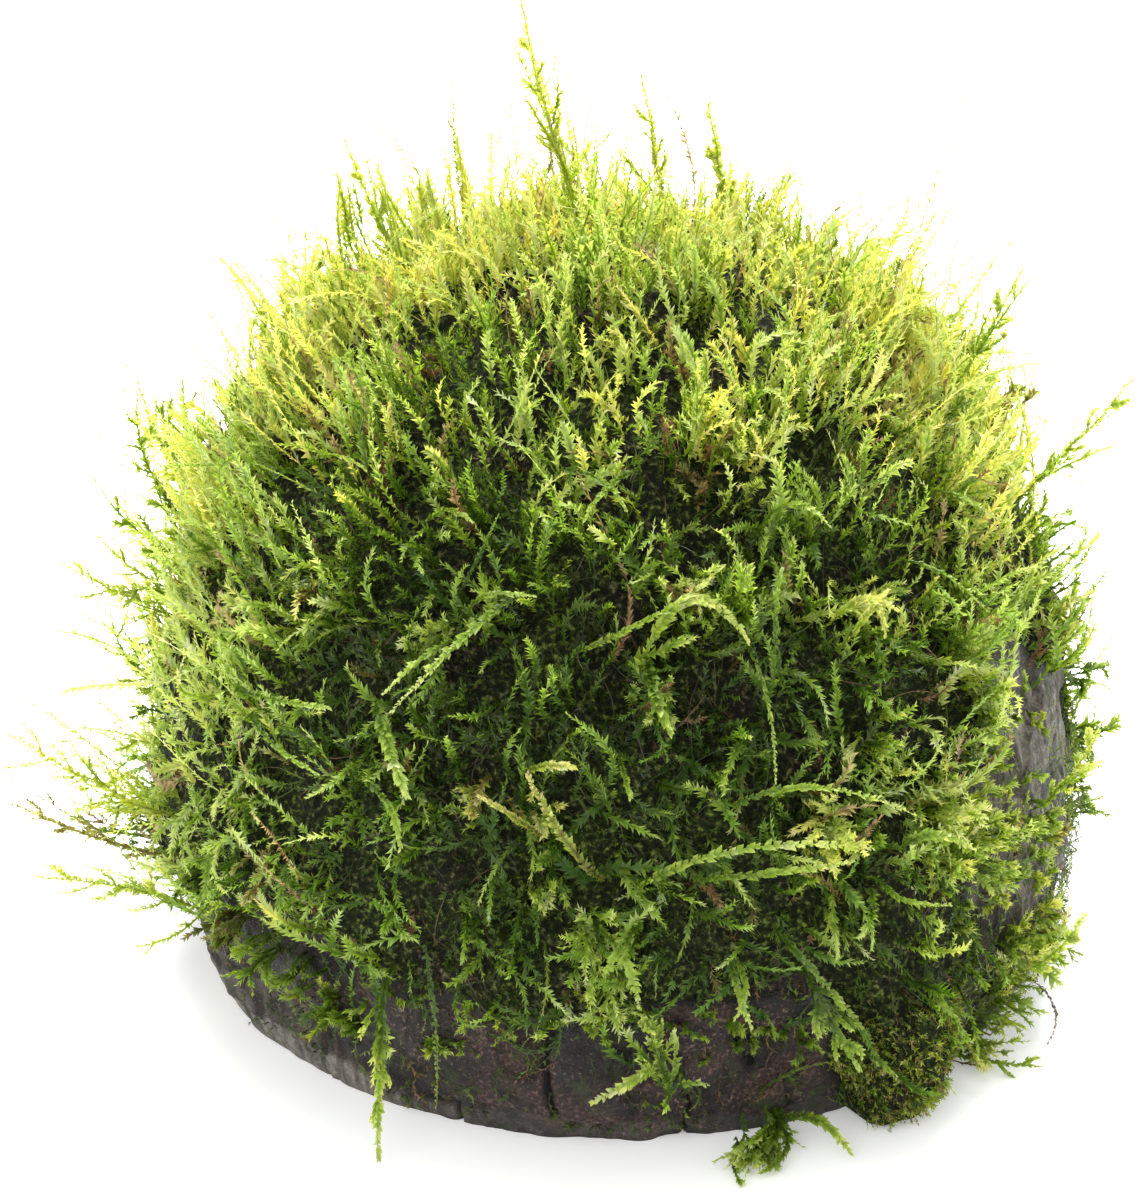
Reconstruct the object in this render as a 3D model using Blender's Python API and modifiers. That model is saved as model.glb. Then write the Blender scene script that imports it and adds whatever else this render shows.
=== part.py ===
"""Java moss on a coconut shell that stands on its sawn rim, with its round end up.

Metres, +Z up. The viewer stands at -Y and has +X on the right. The origin is on the ground, under
the middle of the whole plant's box. A bearing is an angle round the shell's axis, from +X toward +Y.
"""

import math
import random

import bmesh
import bpy
from mathutils import Vector, noise
from mathutils.bvhtree import BVHTree

MM = 0.001
SEED = 11
GAP = 0.3 * MM

# The shell is an egg: its half axes above and below the widest ring, cut off at the ground
SHELL_RADIUS = 55.0 * MM
WIDEST_HEIGHT = 17.3 * MM
CROWN_RISE = 67.2 * MM
BASE_DROP = 48.0 * MM
WALL = 4.5 * MM
SHELL_SEGMENTS = 42
SHELL_RINGS = 20
OPEN_BELOW = -11.0 * MM
GROUND_BLOCK = 300.0 * MM

# Three soft ridges run from pole to pole, one of them at the front
RIDGES = 3
RIDGE_SWELL = 0.010
FRONT = math.radians(-90)

# The moss cushion: its depth, how it rolls, and how far its hidden edge dips into the shell
MOSS_DEPTH = 4.8 * MM
CROWN_DEPTH = 3.0 * MM
CROWN_FROM = 30.0 * MM
CROWN_FULL = 84.0 * MM
MOSS_ROLL = 2.4 * MM
ROLL_SIZE = 15.0 * MM
BARE_DIP = -2.6 * MM
MOSS_LEVELS = 5

# The cushion's lower edge is high over the bare band at the front and lower behind
EDGE_BACK = 9.0 * MM
EDGE_FRONT = 22.5 * MM
EDGE_BAND = math.radians(-101)
EDGE_SPREAD = math.radians(74)
EDGE_STEEP = 2.2
EDGE_RAGGED = 6.0 * MM
EDGE_WAVES = 3.6
EDGE_ROUND = 5.0 * MM

# A bare patch shows the shell on the right side
PATCH_BEARING = math.radians(-22)
PATCH_HEIGHT = 23.0 * MM
PATCH_HALF_ANGLE = math.radians(27)
PATCH_HALF_HEIGHT = 24.0 * MM
PATCH_RAGGED = 0.4
PATCH_WAVE = 9.0 * MM
PATCH_STEEP = 4.0

# The lump hangs over the rim at the right front and touches the ground
LUMP_BEARING = math.radians(-56)
LUMP_HALF_ANGLE = math.radians(10)
LUMP_DEPTH = 9.0 * MM
LUMP_HEIGHT = 38.0 * MM
LUMP_STEEP = 1.6

# Tufts that are fused with the cushion
TUFT_COUNT = 80
TUFT_SPACING = 11.5 * MM
TUFT_LENGTH = (4.0 * MM, 8.5 * MM)
CROWN_LENGTH = 3.0 * MM
SHOOT_ROOM = 8.0 * MM
TUFT_SHOULDER = (0.14, 0.44)
TUFT_LIFT = 0.75
TUFT_DROOP = -0.25
DROOP_BELOW = 34.0 * MM
GROWN_DEPTH = 3.4 * MM
TUFTS_ABOVE = 3.0 * MM

# Long shoots: round stems of leaves that flare where they leave the cushion
SHOOT_RADIUS = 1.4 * MM
SHOOT_SIDES = 6
SHOOT_POINTS = 9
FINE_STEPS = 120
ROOT_FLARE = 0.45
FLARE_SHARE = 0.2
BEAD_SHARE = 0.25
TIP_TAPER = 0.85
LOOKOUT = Vector((0.13, 0.27, 0.954)).normalized()
TINY = 0.001 * MM

# Where each shoot leaves, its tip, and the bow of its middle, in millimetres from the shell's axis,
# then its thickness as a share of SHOOT_RADIUS
SHOOTS = {
    "moss_shoot_crown_tall": ((-2, 5, 84), (-12, 6, 118), (-1.5, 0, 1), 1.2),
    "moss_shoot_crown_thin": ((-16, 12, 80), (-20, 16, 104), (-1.5, 0, 0), 0.7),
    "moss_shoot_crown_left": ((-24, 10, 76), (-33, 13, 98), (-0.5, 0, 1), 1.1),
    "moss_shoot_crown_middle": ((4, 14, 80), (2, 19, 104), (1.5, 0, 0), 1.0),
    "moss_shoot_crown_right": ((12, 13, 78), (10, 17, 101), (1.2, 0, 0), 1.1),
    "moss_shoot_crown_back": ((-3, 30, 70), (-7, 44, 92), (0, 0, 2), 1.1),
    "moss_shoot_right_high": ((33, -3, 64), (46, -4, 88), (0.5, 0, -1), 1.1),
    "moss_shoot_right_horn": ((46, 6, 55), (61, 7, 70), (0.5, 0, -1.5), 1.2),
    "moss_shoot_right_tuft": ((45, -25, 26), (54.5, -31, 43), (1.5, 0, -1), 1.2),
    "moss_shoot_right_low": ((44, -31, 9), (53, -36, 20.5), (1.5, 0, -1), 1.1),
    "moss_shoot_left_high": ((-50, 5, 52), (-58, 6, 70), (-1, 0, 0), 1.1),
    "moss_shoot_left_middle": ((-50, 2, 41), (-68, 2, 48), (0, 0, -1), 1.2),
    "moss_shoot_left_spray": ((-50, -18, 23), (-72, -21, 36.5), (0, 0, -1.5), 1.5),
    "moss_shoot_left_rust": ((-50, -21, 19), (-72.5, -22, 28), (0, 0, -1), 0.9),
    "moss_shoot_left_low": ((-46, -28, 15), (-68.5, -30, 22), (0, 0, 1.5), 1.3),
    "moss_shoot_back_low": ((10, 50, 26), (16, 66, 36), (0, 0, -2), 1.2),
    "moss_strand_front_left": ((-27, -48, 24), (-28, -57.5, 0.9), (0, -3.5, 3), 1.1),
    "moss_strand_front_middle": ((2, -50, 32), (5, -61, 11), (-1.5, -3.5, 2), 2.2),
    "moss_strand_front_right": ((17, -48, 29), (26, -56, 12), (-1, -3, 2), 1.5),
    "moss_sprig_rim_front": ((17.2, -46.0, 3.0), (13, -60.5, 1.5), (1, 0, -0.5), 0.9),
    "moss_sprig_rim_right": ((34.0, -34.0, 2.0), (49, -38, 1.4), (1.5, -1, -0.2), 0.9),
}

WOOD = (0.16, 0.13, 0.115)
MOSS_GREEN = (0.12, 0.24, 0.035)
SHOOT_GREEN = (0.27, 0.42, 0.06)


def finish(name, colour, roughness):
    """Returns a plain material of one colour."""
    material = bpy.data.materials.new(name)
    material.use_nodes = True
    shader = material.node_tree.nodes["Principled BSDF"]
    shader.inputs["Base Color"].default_value = (*colour, 1.0)
    shader.inputs["Roughness"].default_value = roughness
    shader.inputs["Metallic"].default_value = 0.0
    return material


def new_object(name, bm, collection, parent, material=None):
    """Turns a bmesh into an object in a collection, and frees the bmesh."""
    mesh = bpy.data.meshes.new(name)
    bm.to_mesh(mesh)
    bm.free()
    mesh.shade_smooth()
    item = bpy.data.objects.new(name, mesh)
    collection.objects.link(item)
    item.parent = parent
    if material:
        mesh.materials.append(material)
    else:
        item.hide_render = True
        item.display_type = 'WIRE'
    return item


def cut(item, cutter):
    """Takes one solid away from another with a Boolean."""
    modifier = item.modifiers.new(f"less {cutter.name}", 'BOOLEAN')
    modifier.operation = 'DIFFERENCE'
    modifier.solver = 'EXACT'
    modifier.object = cutter


def smooth_step(value):
    """Goes from 0 to 1 without a corner as value does."""
    share = min(max(value, 0.0), 1.0)
    return share * share * (3.0 - 2.0 * share)


def turn_between(first, second):
    """Returns the shortest turn from one bearing to another."""
    return math.remainder(second - first, math.tau)


def egg_point(bearing, polar, grow=0.0):
    """Returns the point of the shell's outside at a bearing and at an angle down from the top."""
    swell = 1.0 + RIDGE_SWELL * math.cos(RIDGES * (bearing - FRONT)) * math.sin(polar)
    radius = (SHELL_RADIUS * swell + grow) * math.sin(polar)
    half_axis = CROWN_RISE if polar < math.pi / 2 else BASE_DROP
    height = WIDEST_HEIGHT + (half_axis + grow) * math.cos(polar)
    return Vector((radius * math.cos(bearing), radius * math.sin(bearing), height))


def angles_of(direction):
    """Returns the bearing and the angle from the top of a point on the unit sphere."""
    return math.atan2(direction.y, direction.x), math.acos(min(max(direction.z, -1.0), 1.0))


def egg_bmesh(grow):
    """Builds a closed egg, larger than the shell by grow."""
    bm = bmesh.new()
    bmesh.ops.create_uvsphere(bm, u_segments=SHELL_SEGMENTS, v_segments=SHELL_RINGS, radius=1.0)
    for vertex in bm.verts:
        vertex.co = egg_point(*angles_of(vertex.co), grow)
    return bm


def edge_height(bearing):
    """Returns the height of the cushion's lower edge, above the ground, at a bearing."""
    turn = abs(turn_between(EDGE_BAND, bearing)) / EDGE_SPREAD
    front = smooth_step(EDGE_STEEP * (1.0 - turn))
    ring = Vector((math.cos(bearing), math.sin(bearing), 0.0))
    ragged = EDGE_RAGGED * noise.noise(ring * EDGE_WAVES)
    return EDGE_BACK + (EDGE_FRONT - EDGE_BACK) * front + ragged


def crown_share(height):
    """Returns how much a height belongs to the crown, from 0 to 1."""
    return smooth_step((height - CROWN_FROM) / (CROWN_FULL - CROWN_FROM))


def lump_share(bearing, height):
    """Returns how much a place belongs to the lump at the rim, from 0 to 1."""
    turn = abs(turn_between(LUMP_BEARING, bearing)) / LUMP_HALF_ANGLE
    low = 1.0 - height / LUMP_HEIGHT
    return smooth_step(LUMP_STEEP * (1.0 - turn)) * smooth_step(LUMP_STEEP * low)


def moss_depth(bearing, polar):
    """Returns how far the cushion stands out from the shell, below zero where the shell is bare."""
    place = egg_point(bearing, polar)
    roll = MOSS_ROLL * noise.noise(place / ROLL_SIZE)
    depth = MOSS_DEPTH + CROWN_DEPTH * crown_share(place.z) + roll
    above = (place.z - edge_height(bearing)) / EDGE_ROUND + 0.5
    turn = turn_between(PATCH_BEARING, bearing) / PATCH_HALF_ANGLE
    rise = (place.z - PATCH_HEIGHT) / PATCH_HALF_HEIGHT
    ragged = PATCH_RAGGED * noise.noise(place / PATCH_WAVE)
    clear = (math.hypot(turn, rise) + ragged - 1.0) * PATCH_STEEP + 0.5
    cover = smooth_step(above) * smooth_step(clear)
    cushion = BARE_DIP + (depth - BARE_DIP) * cover
    lump = lump_share(bearing, place.z)
    return cushion + (max(LUMP_DEPTH, cushion) - cushion) * lump


def tuft_way(place):
    """Returns the way that a tuft points: out and up, or out and down low at the front."""
    outward = Vector((place.x, place.y, place.z - WIDEST_HEIGHT)).normalized()
    lift = TUFT_DROOP if place.y < 0 and place.z < DROOP_BELOW else TUFT_LIFT
    return (outward + Vector((0.0, 0.0, lift))).normalized()


def arc_point(root, tip, bow, share):
    """Returns a point, in metres, on an arc from root to tip whose middle is moved by bow."""
    straight = Vector(root).lerp(Vector(tip), share)
    return (straight + Vector(bow) * (4.0 * share * (1.0 - share))) * MM


def far_from(place, others, room):
    """Tells whether a place is further than room from all the others."""
    return all((place - other).length > room for other in others)


def moss_bmesh(draw):
    """Builds the cushion's closed outside, with its tufts pulled out of it, none where a shoot is."""
    bm = bmesh.new()
    bmesh.ops.create_icosphere(bm, subdivisions=MOSS_LEVELS, radius=1.0)
    depths = {}
    for vertex in bm.verts:
        bearing, polar = angles_of(vertex.co)
        depths[vertex] = moss_depth(bearing, polar)
        vertex.co = egg_point(bearing, polar, depths[vertex])
    deep = [vertex for vertex in bm.verts if depths[vertex] > GROWN_DEPTH]
    grown = [vertex for vertex in deep if vertex.co.z > TUFTS_ABOVE]
    draw.shuffle(grown)
    taken = []
    for root, tip, bow, _ in SHOOTS.values():
        taken += [arc_point(root, tip, bow, step / SHOOT_POINTS) for step in range(SHOOT_POINTS + 1)]
    tufts = []
    for vertex in grown:
        apart = far_from(vertex.co, [tuft.co for tuft in tufts], TUFT_SPACING)
        if len(tufts) < TUFT_COUNT and apart and far_from(vertex.co, taken, SHOOT_ROOM):
            tufts.append(vertex)
    pulls = {}
    for vertex in tufts:
        length = draw.uniform(*TUFT_LENGTH) + CROWN_LENGTH * crown_share(vertex.co.z)
        pull = tuft_way(vertex.co) * length
        pulls[vertex] = pull
        for edge in vertex.link_edges:
            pulls[edge.other_vert(vertex)] = pull * draw.uniform(*TUFT_SHOULDER)
    for vertex, pull in pulls.items():
        vertex.co += pull
    return bm


def is_inside(place, tree):
    """Tells whether a place is inside a closed surface, by counting the faces on a way out."""
    hits = 0
    start = place
    while True:
        hit = tree.ray_cast(start, LOOKOUT)[0]
        if hit is None:
            return hits % 2 == 1
        hits += 1
        start = hit + LOOKOUT * TINY


def is_clear(point, axis, radius, solids):
    """Tells whether a disc across a path keeps its gap to every solid."""
    side = axis.orthogonal().normalized()
    other = axis.cross(side)
    places = [point]
    for step in range(2 * SHOOT_SIDES):
        turn = math.pi * step / SHOOT_SIDES
        spoke = (side * math.cos(turn) + other * math.sin(turn)) * radius
        places += [point + spoke, point + spoke * 0.5]
    for place in places:
        for tree in solids:
            if tree.find_nearest(place)[3] < GAP or is_inside(place, tree):
                return False
    return True


def clear_points(root, tip, bow, radius, solids):
    """Returns the points of the stretch of an arc that lies clear of the solids, up to its tip."""
    fine = [arc_point(root, tip, bow, step / FINE_STEPS) for step in range(FINE_STEPS + 1)]
    flared = radius * (1.0 + ROOT_FLARE)
    start = FINE_STEPS
    while start > 0:
        axis = (fine[start] - fine[start - 1]).normalized()
        if not is_clear(fine[start - 1], axis, flared, solids):
            break
        start -= 1
    span = FINE_STEPS - start
    steps = [start + round(span * step / (SHOOT_POINTS - 1)) for step in range(SHOOT_POINTS)]
    return [fine[step] for step in steps]


def shoot_object(name, points, radius, collection, parent, material):
    """Builds one shoot: a beaded round stem with a flared root, which tapers to its tip."""
    curve = bpy.data.curves.new(name, 'CURVE')
    curve.dimensions = '3D'
    curve.bevel_depth = radius
    curve.bevel_resolution = SHOOT_SIDES // 2 - 2
    curve.use_fill_caps = True
    spline = curve.splines.new('POLY')
    spline.points.add(len(points) - 1)
    for index, point in enumerate(points):
        share = index / (len(points) - 1)
        bead = 1.0 - BEAD_SHARE * (index % 2)
        flare = 1.0 + ROOT_FLARE * max(0.0, 1.0 - share / FLARE_SHARE)
        taper = 1.0 - TIP_TAPER * share ** 2
        spline.points[index].co = (*point, 1.0)
        spline.points[index].radius = bead * flare * taper
    curve.materials.append(material)
    item = bpy.data.objects.new(name, curve)
    collection.objects.link(item)
    item.parent = parent
    return item


def whole_box(items):
    """Returns the lowest and the highest corner of all the items together."""
    depsgraph = bpy.context.evaluated_depsgraph_get()
    corners = []
    for item in items:
        evaluated = item.evaluated_get(depsgraph)
        mesh = evaluated.to_mesh()
        corners.extend(evaluated.matrix_world @ vertex.co for vertex in mesh.vertices)
        evaluated.to_mesh_clear()
    low = Vector([min(corner[axis] for corner in corners) for axis in range(3)])
    high = Vector([max(corner[axis] for corner in corners) for axis in range(3)])
    return low, high


def build():
    """Clears the scene and builds the shell, the cushion and the shoots."""
    for item in list(bpy.data.objects):
        bpy.data.objects.remove(item)
    draw = random.Random(SEED)
    parts = bpy.data.collections.new("java moss on coconut")
    cutters = bpy.data.collections.new("cutters")
    bpy.context.scene.collection.children.link(parts)
    bpy.context.scene.collection.children.link(cutters)
    base = bpy.data.objects.new("ground point", None)
    parts.objects.link(base)

    wood = finish("wet coconut shell", WOOD, 0.75)
    moss = finish("moss cushion", MOSS_GREEN, 0.8)
    shoots = finish("moss shoots", SHOOT_GREEN, 0.7)

    # The ground takes away what lies below the rim
    bm = bmesh.new()
    bmesh.ops.create_cube(bm, size=GROUND_BLOCK)
    ground = new_object("below the ground", bm, cutters, base)
    ground.location.z = -GROUND_BLOCK / 2

    # The shell's outside, thickened inwards and sawn off
    bm = egg_bmesh(0.0)
    wooden = BVHTree.FromBMesh(bm)
    low = [vertex for vertex in bm.verts if vertex.co.z < OPEN_BELOW]
    bmesh.ops.delete(bm, geom=low, context='VERTS')
    shell = new_object("coconut_shell", bm, parts, base, wood)
    wall = shell.modifiers.new("wall", 'SOLIDIFY')
    wall.thickness = WALL
    wall.offset = -1.0
    cut(shell, ground)

    # The cushion fits over the shell with a gap
    outside = moss_bmesh(draw)
    mossy = BVHTree.FromBMesh(outside)
    mat = new_object("moss_mat", outside, parts, base, moss)
    room = new_object("room for the shell", egg_bmesh(GAP), cutters, base)
    cut(mat, room)
    cut(mat, ground)

    for name, (root, tip, bow, thickness) in SHOOTS.items():
        radius = SHOOT_RADIUS * thickness
        points = clear_points(root, tip, bow, radius, (wooden, mossy))
        shoot_object(name, points, radius, parts, base, shoots)

    # The origin goes under the middle of the whole box
    bpy.context.view_layer.update()
    low, high = whole_box([item for item in parts.objects if item is not base])
    base.location = (-(low.x + high.x) / 2, -(low.y + high.y) / 2, 0.0)
    bpy.context.view_layer.update()


build()
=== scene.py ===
# %% [markdown]
# # Java moss on a coconut shell
#
# Half of a coconut stands on its sawn rim, with its round end up, and java moss has grown over it.
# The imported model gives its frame: one solid for the shell, one for the moss cushion and one for
# each long shoot. This file gives every one of them its real surface. The shell becomes a fine grid
# with fibres, cracks and a chipped rim. The moss becomes fronds, each a curved stem with two rows
# of pointed leaves and side branches, because nothing coarser shows moss at this distance.
#
# Everything is in metres with +Z up. The viewer stands at -Y and has +X on the right.

import math

import bpy
import numpy as np
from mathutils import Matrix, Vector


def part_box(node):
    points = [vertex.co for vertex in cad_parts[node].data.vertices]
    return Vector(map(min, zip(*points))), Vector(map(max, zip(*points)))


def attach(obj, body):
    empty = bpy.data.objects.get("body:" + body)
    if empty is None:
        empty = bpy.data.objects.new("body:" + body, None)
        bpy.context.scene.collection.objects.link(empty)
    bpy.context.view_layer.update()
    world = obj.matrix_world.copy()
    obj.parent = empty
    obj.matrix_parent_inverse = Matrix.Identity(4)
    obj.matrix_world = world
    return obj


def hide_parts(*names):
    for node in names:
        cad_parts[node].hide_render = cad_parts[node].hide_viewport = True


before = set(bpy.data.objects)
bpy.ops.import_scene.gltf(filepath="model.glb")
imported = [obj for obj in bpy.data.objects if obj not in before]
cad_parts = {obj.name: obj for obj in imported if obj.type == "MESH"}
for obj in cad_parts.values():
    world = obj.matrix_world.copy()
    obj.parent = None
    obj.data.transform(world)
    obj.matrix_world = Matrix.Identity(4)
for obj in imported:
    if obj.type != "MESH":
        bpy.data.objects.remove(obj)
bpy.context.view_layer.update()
print("nodes in the frame:", len(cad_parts))

# %% [markdown]
# ## The egg that everything grows on
#
# The shell is an egg with one half axis above its widest ring, another below, and three soft ridges
# from pole to pole. The sizes are those of the solid model. The shell's axis is found from the
# solid's own box: its middle, moved back by what the front ridge adds.

# %% Sizes of the shell
MM = 0.001
SHELL_RADIUS = 55.0 * MM
WIDEST_HEIGHT = 17.3 * MM
CROWN_RISE = 67.2 * MM
BASE_DROP = 48.0 * MM
WALL = 4.5 * MM
RIDGES = 3
RIDGE_SWELL = 0.010
FRONT = math.radians(-90)

shell_low, shell_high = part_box("coconut_shell")
AXIS = np.array([
    (shell_low[0] + shell_high[0]) / 2,
    (shell_low[1] + shell_high[1]) / 2 + RIDGE_SWELL * SHELL_RADIUS,
    0.0,
])
print("the shell's axis, in millimetres:", np.round(AXIS / MM, 2))


def unit(vectors):
    """Every vector divided by its own length."""
    return vectors / np.maximum(np.linalg.norm(vectors, axis=-1, keepdims=True), 1e-12)


def smooth_step(value):
    """3v^2 - 2v^3 with v held between 0 and 1: a step without a corner."""
    share = np.clip(value, 0.0, 1.0)
    return share * share * (3.0 - 2.0 * share)


def above(height, low, span):
    """0 below a height and 1 from span above it, both in millimetres, with a soft step between."""
    return smooth_step((height - low * MM) / (span * MM))


def turn_from(bearing, middle):
    """The signed angle from middle to a bearing, between minus and plus half a turn."""
    return np.remainder(bearing - middle + math.pi, math.tau) - math.pi


def egg(bearing, polar, grow=0.0):
    """Points of the shell's outside, moved out by grow.

    The radius is (R * ridges + grow) * sin(polar) and the height is the widest ring's height plus
    (half axis + grow) * cos(polar), where the ridges are 1 + swell * cos(3 * turn) * sin(polar).
    """
    swell = 1.0 + RIDGE_SWELL * np.cos(RIDGES * (bearing - FRONT)) * np.sin(polar)
    radius = (SHELL_RADIUS * swell + grow) * np.sin(polar)
    half_axis = np.where(polar < math.pi / 2, CROWN_RISE, BASE_DROP) + grow
    x = AXIS[0] + radius * np.cos(bearing)
    y = AXIS[1] + radius * np.sin(bearing)
    z = WIDEST_HEIGHT + half_axis * np.cos(polar)
    return np.stack(np.broadcast_arrays(x, y, z), axis=-1)


def egg_angles(points):
    """Bearing and polar angle on the egg under each point: the inverse of egg() for any depth."""
    away = points - AXIS
    bearing = np.arctan2(away[..., 1], away[..., 0])
    rise = away[..., 2] - WIDEST_HEIGHT
    half_axis = np.where(rise > 0, CROWN_RISE, BASE_DROP)
    across = np.hypot(away[..., 0], away[..., 1]) / SHELL_RADIUS
    return bearing, np.arctan2(across, rise / half_axis)


def on_shell(points, grow=0.0):
    """The place on the shell's outside under each point, moved out by grow."""
    bearing, polar = egg_angles(points)
    return egg(bearing, polar, grow)


def outward(points):
    """The shell's outward unit normal under each point: the slope of the egg's own formula."""
    away = points - AXIS
    rise = away[..., 2] - WIDEST_HEIGHT
    half_axis = np.where(rise > 0, CROWN_RISE, BASE_DROP)
    slope = (away[..., 0] / SHELL_RADIUS**2, away[..., 1] / SHELL_RADIUS**2, rise / half_axis**2)
    return unit(np.stack(slope, axis=-1))


def round_axis(turns, heights):
    """Places at bearings and heights, one shell radius from the axis: (R cos, R sin, height)."""
    across = (SHELL_RADIUS * np.cos(turns), SHELL_RADIUS * np.sin(turns), heights)
    return AXIS + np.stack(across, axis=-1)


# %% [markdown]
# ## Smooth random numbers in space
#
# Bark, fibres and moss are never even. One helper gives soft random numbers: each corner of a grid
# of cubes gets its own number, and a point blends the eight corners of its cube. Two or three sizes
# added together look like something grown. Every random number here comes from a stated seed.

# %% Soft noise
TABLE_SIZE = 4096
TABLE = np.random.default_rng(5).random(TABLE_SIZE) * 2.0 - 1.0
HASH = np.array([73856093, 19349663, 83492791])


def soft_noise(points, size, shift=0.0):
    """Numbers from -1 to 1 that change over size: the eight corner values of a cube, blended."""
    cell = points / size + shift
    low = np.floor(cell).astype(np.int64)
    share = smooth_step(cell - low)
    total = np.zeros(points.shape[:-1])
    for corner in np.ndindex(2, 2, 2):
        keys = (low + np.array(corner)) * HASH
        number = TABLE[(keys[..., 0] ^ keys[..., 1] ^ keys[..., 2]) & (TABLE_SIZE - 1)]
        weight = np.prod(np.where(np.array(corner) == 1, share, 1.0 - share), axis=-1)
        total += number * weight
    return total


# %% [markdown]
# ## Reading the solid cushion
#
# The solid model already holds the cushion's form: where the moss ends above the bare band, the
# gap on the right, the lump at the rim and every tuft. Two things are read from it: random places
# on its outer surface, where fronds will end, and a map of its depth over the shell, which tells
# every other piece where there is moss and how much.

# %% Places on the cushion's surface
CLEAR_OF_SHELL = 0.7 * MM
CLEAR_OF_TABLE = 0.4 * MM


def corners_of(mesh):
    """The vertices of a mesh, one row each."""
    corners = np.empty(len(mesh.vertices) * 3)
    mesh.vertices.foreach_get("co", corners)
    return corners.reshape(-1, 3)


def outer_triangles(node):
    """Corners and areas of the cushion's outer triangles: those clear of the shell and the table."""
    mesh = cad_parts[node].data
    mesh.calc_loop_triangles()
    faces = np.empty(len(mesh.loop_triangles) * 3, dtype=np.int32)
    mesh.loop_triangles.foreach_get("vertices", faces)
    triangles = corners_of(mesh)[faces.reshape(-1, 3)]
    middle = triangles.mean(axis=1)
    stands = np.einsum('ij,ij->i', middle - on_shell(middle), outward(middle))
    kept = triangles[(stands > CLEAR_OF_SHELL) & (middle[:, 2] > CLEAR_OF_TABLE)]
    area = np.linalg.norm(np.cross(kept[:, 1] - kept[:, 0], kept[:, 2] - kept[:, 0]), axis=1) / 2
    return kept, area


MAT_TRIANGLES, MAT_AREAS = outer_triangles("moss_mat")
print("the cushion's outer surface, in square centimetres:", round(MAT_AREAS.sum() * 1e4, 1))


def mat_places(count, draw):
    """Random places on the cushion, even over its area: corners weighted by folded shares."""
    pick = draw.choice(len(MAT_TRIANGLES), count, p=MAT_AREAS / MAT_AREAS.sum())
    first, second = draw.random((2, count))
    folded = first + second > 1.0
    first[folded] = 1.0 - first[folded]
    second[folded] = 1.0 - second[folded]
    a, b, c = MAT_TRIANGLES[pick, 0], MAT_TRIANGLES[pick, 1], MAT_TRIANGLES[pick, 2]
    return a + (b - a) * first[:, None] + (c - a) * second[:, None]


# %% Map of the cushion's depth
MAP_TURNS = 120
MAP_POLARS = 60
MAP_PLACES = 160000
RIM_POLAR = math.acos(-WIDEST_HEIGHT / BASE_DROP)


def read_depths():
    """Mean depth of the cushion in cells of bearing and polar angle, zero where there is no moss."""
    places = mat_places(MAP_PLACES, np.random.default_rng(8))
    bearing, polar = egg_angles(places)
    depth = np.linalg.norm(places - on_shell(places), axis=1)
    column = ((bearing + math.pi) / math.tau * MAP_TURNS).astype(int) % MAP_TURNS
    row = np.clip((polar / RIM_POLAR * MAP_POLARS).astype(int), 0, MAP_POLARS - 1)
    cell = row * MAP_TURNS + column
    total = np.bincount(cell, depth, MAP_TURNS * MAP_POLARS)
    number = np.bincount(cell, None, MAP_TURNS * MAP_POLARS)
    depths = (total / np.maximum(number, 1)).reshape(MAP_POLARS, MAP_TURNS)
    top = MAP_POLARS // 7
    depths[:top] = depths[:top].max(axis=1, keepdims=True)
    return (np.roll(depths, 1, axis=1) + 2 * depths + np.roll(depths, -1, axis=1)) / 4


DEPTHS = read_depths()
LUMP_BEARING = math.radians(-56)
FOOT_HALF = math.radians(6)
FOOT_GROWTH = math.radians(9)
FOOT_HEIGHT = 15 * MM


def lump_foot(bearing, height):
    """One where moss can hang to the ground: the lump is a wedge, narrow at its foot.

    Its half angle grows from 6 degrees at the ground to 15 degrees at 15 mm. Above 13 mm moss can
    hang anywhere.
    """
    away = np.abs(turn_from(bearing, LUMP_BEARING))
    half = FOOT_HALF + FOOT_GROWTH * height / FOOT_HEIGHT
    wedge = smooth_step((half - away) / math.radians(3))
    return np.maximum(wedge, above(height, 13, 3))


def depth_at(bearing, polar):
    """The cushion's depth, blended between the four nearest cells of the map."""
    across = np.mod((bearing + math.pi) / math.tau * MAP_TURNS - 0.5, MAP_TURNS)
    down = np.clip(polar / RIM_POLAR * MAP_POLARS - 0.5, 0.0, MAP_POLARS - 1.001)
    left, top = np.floor(across).astype(int) % MAP_TURNS, np.floor(down).astype(int)
    right = (left + 1) % MAP_TURNS
    x, y = across - np.floor(across), down - np.floor(down)
    upper = DEPTHS[top, left] * (1 - x) + DEPTHS[top, right] * x
    lower = DEPTHS[top + 1, left] * (1 - x) + DEPTHS[top + 1, right] * x
    return (upper * (1 - y) + lower * y) * lump_foot(bearing, WIDEST_HEIGHT + BASE_DROP * np.cos(polar))


print("deepest moss on the map, in millimetres:", round(DEPTHS.max() / MM, 1))

# %% [markdown]
# ## From arrays to a piece
#
# Every new piece is an array of points and an array of triangles. The mesh takes both at once, and
# one colour attribute can carry what the material should know about each point, such as how young
# a leaf is. Each piece rides on the one body and names the material slot that it belongs to.

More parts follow.
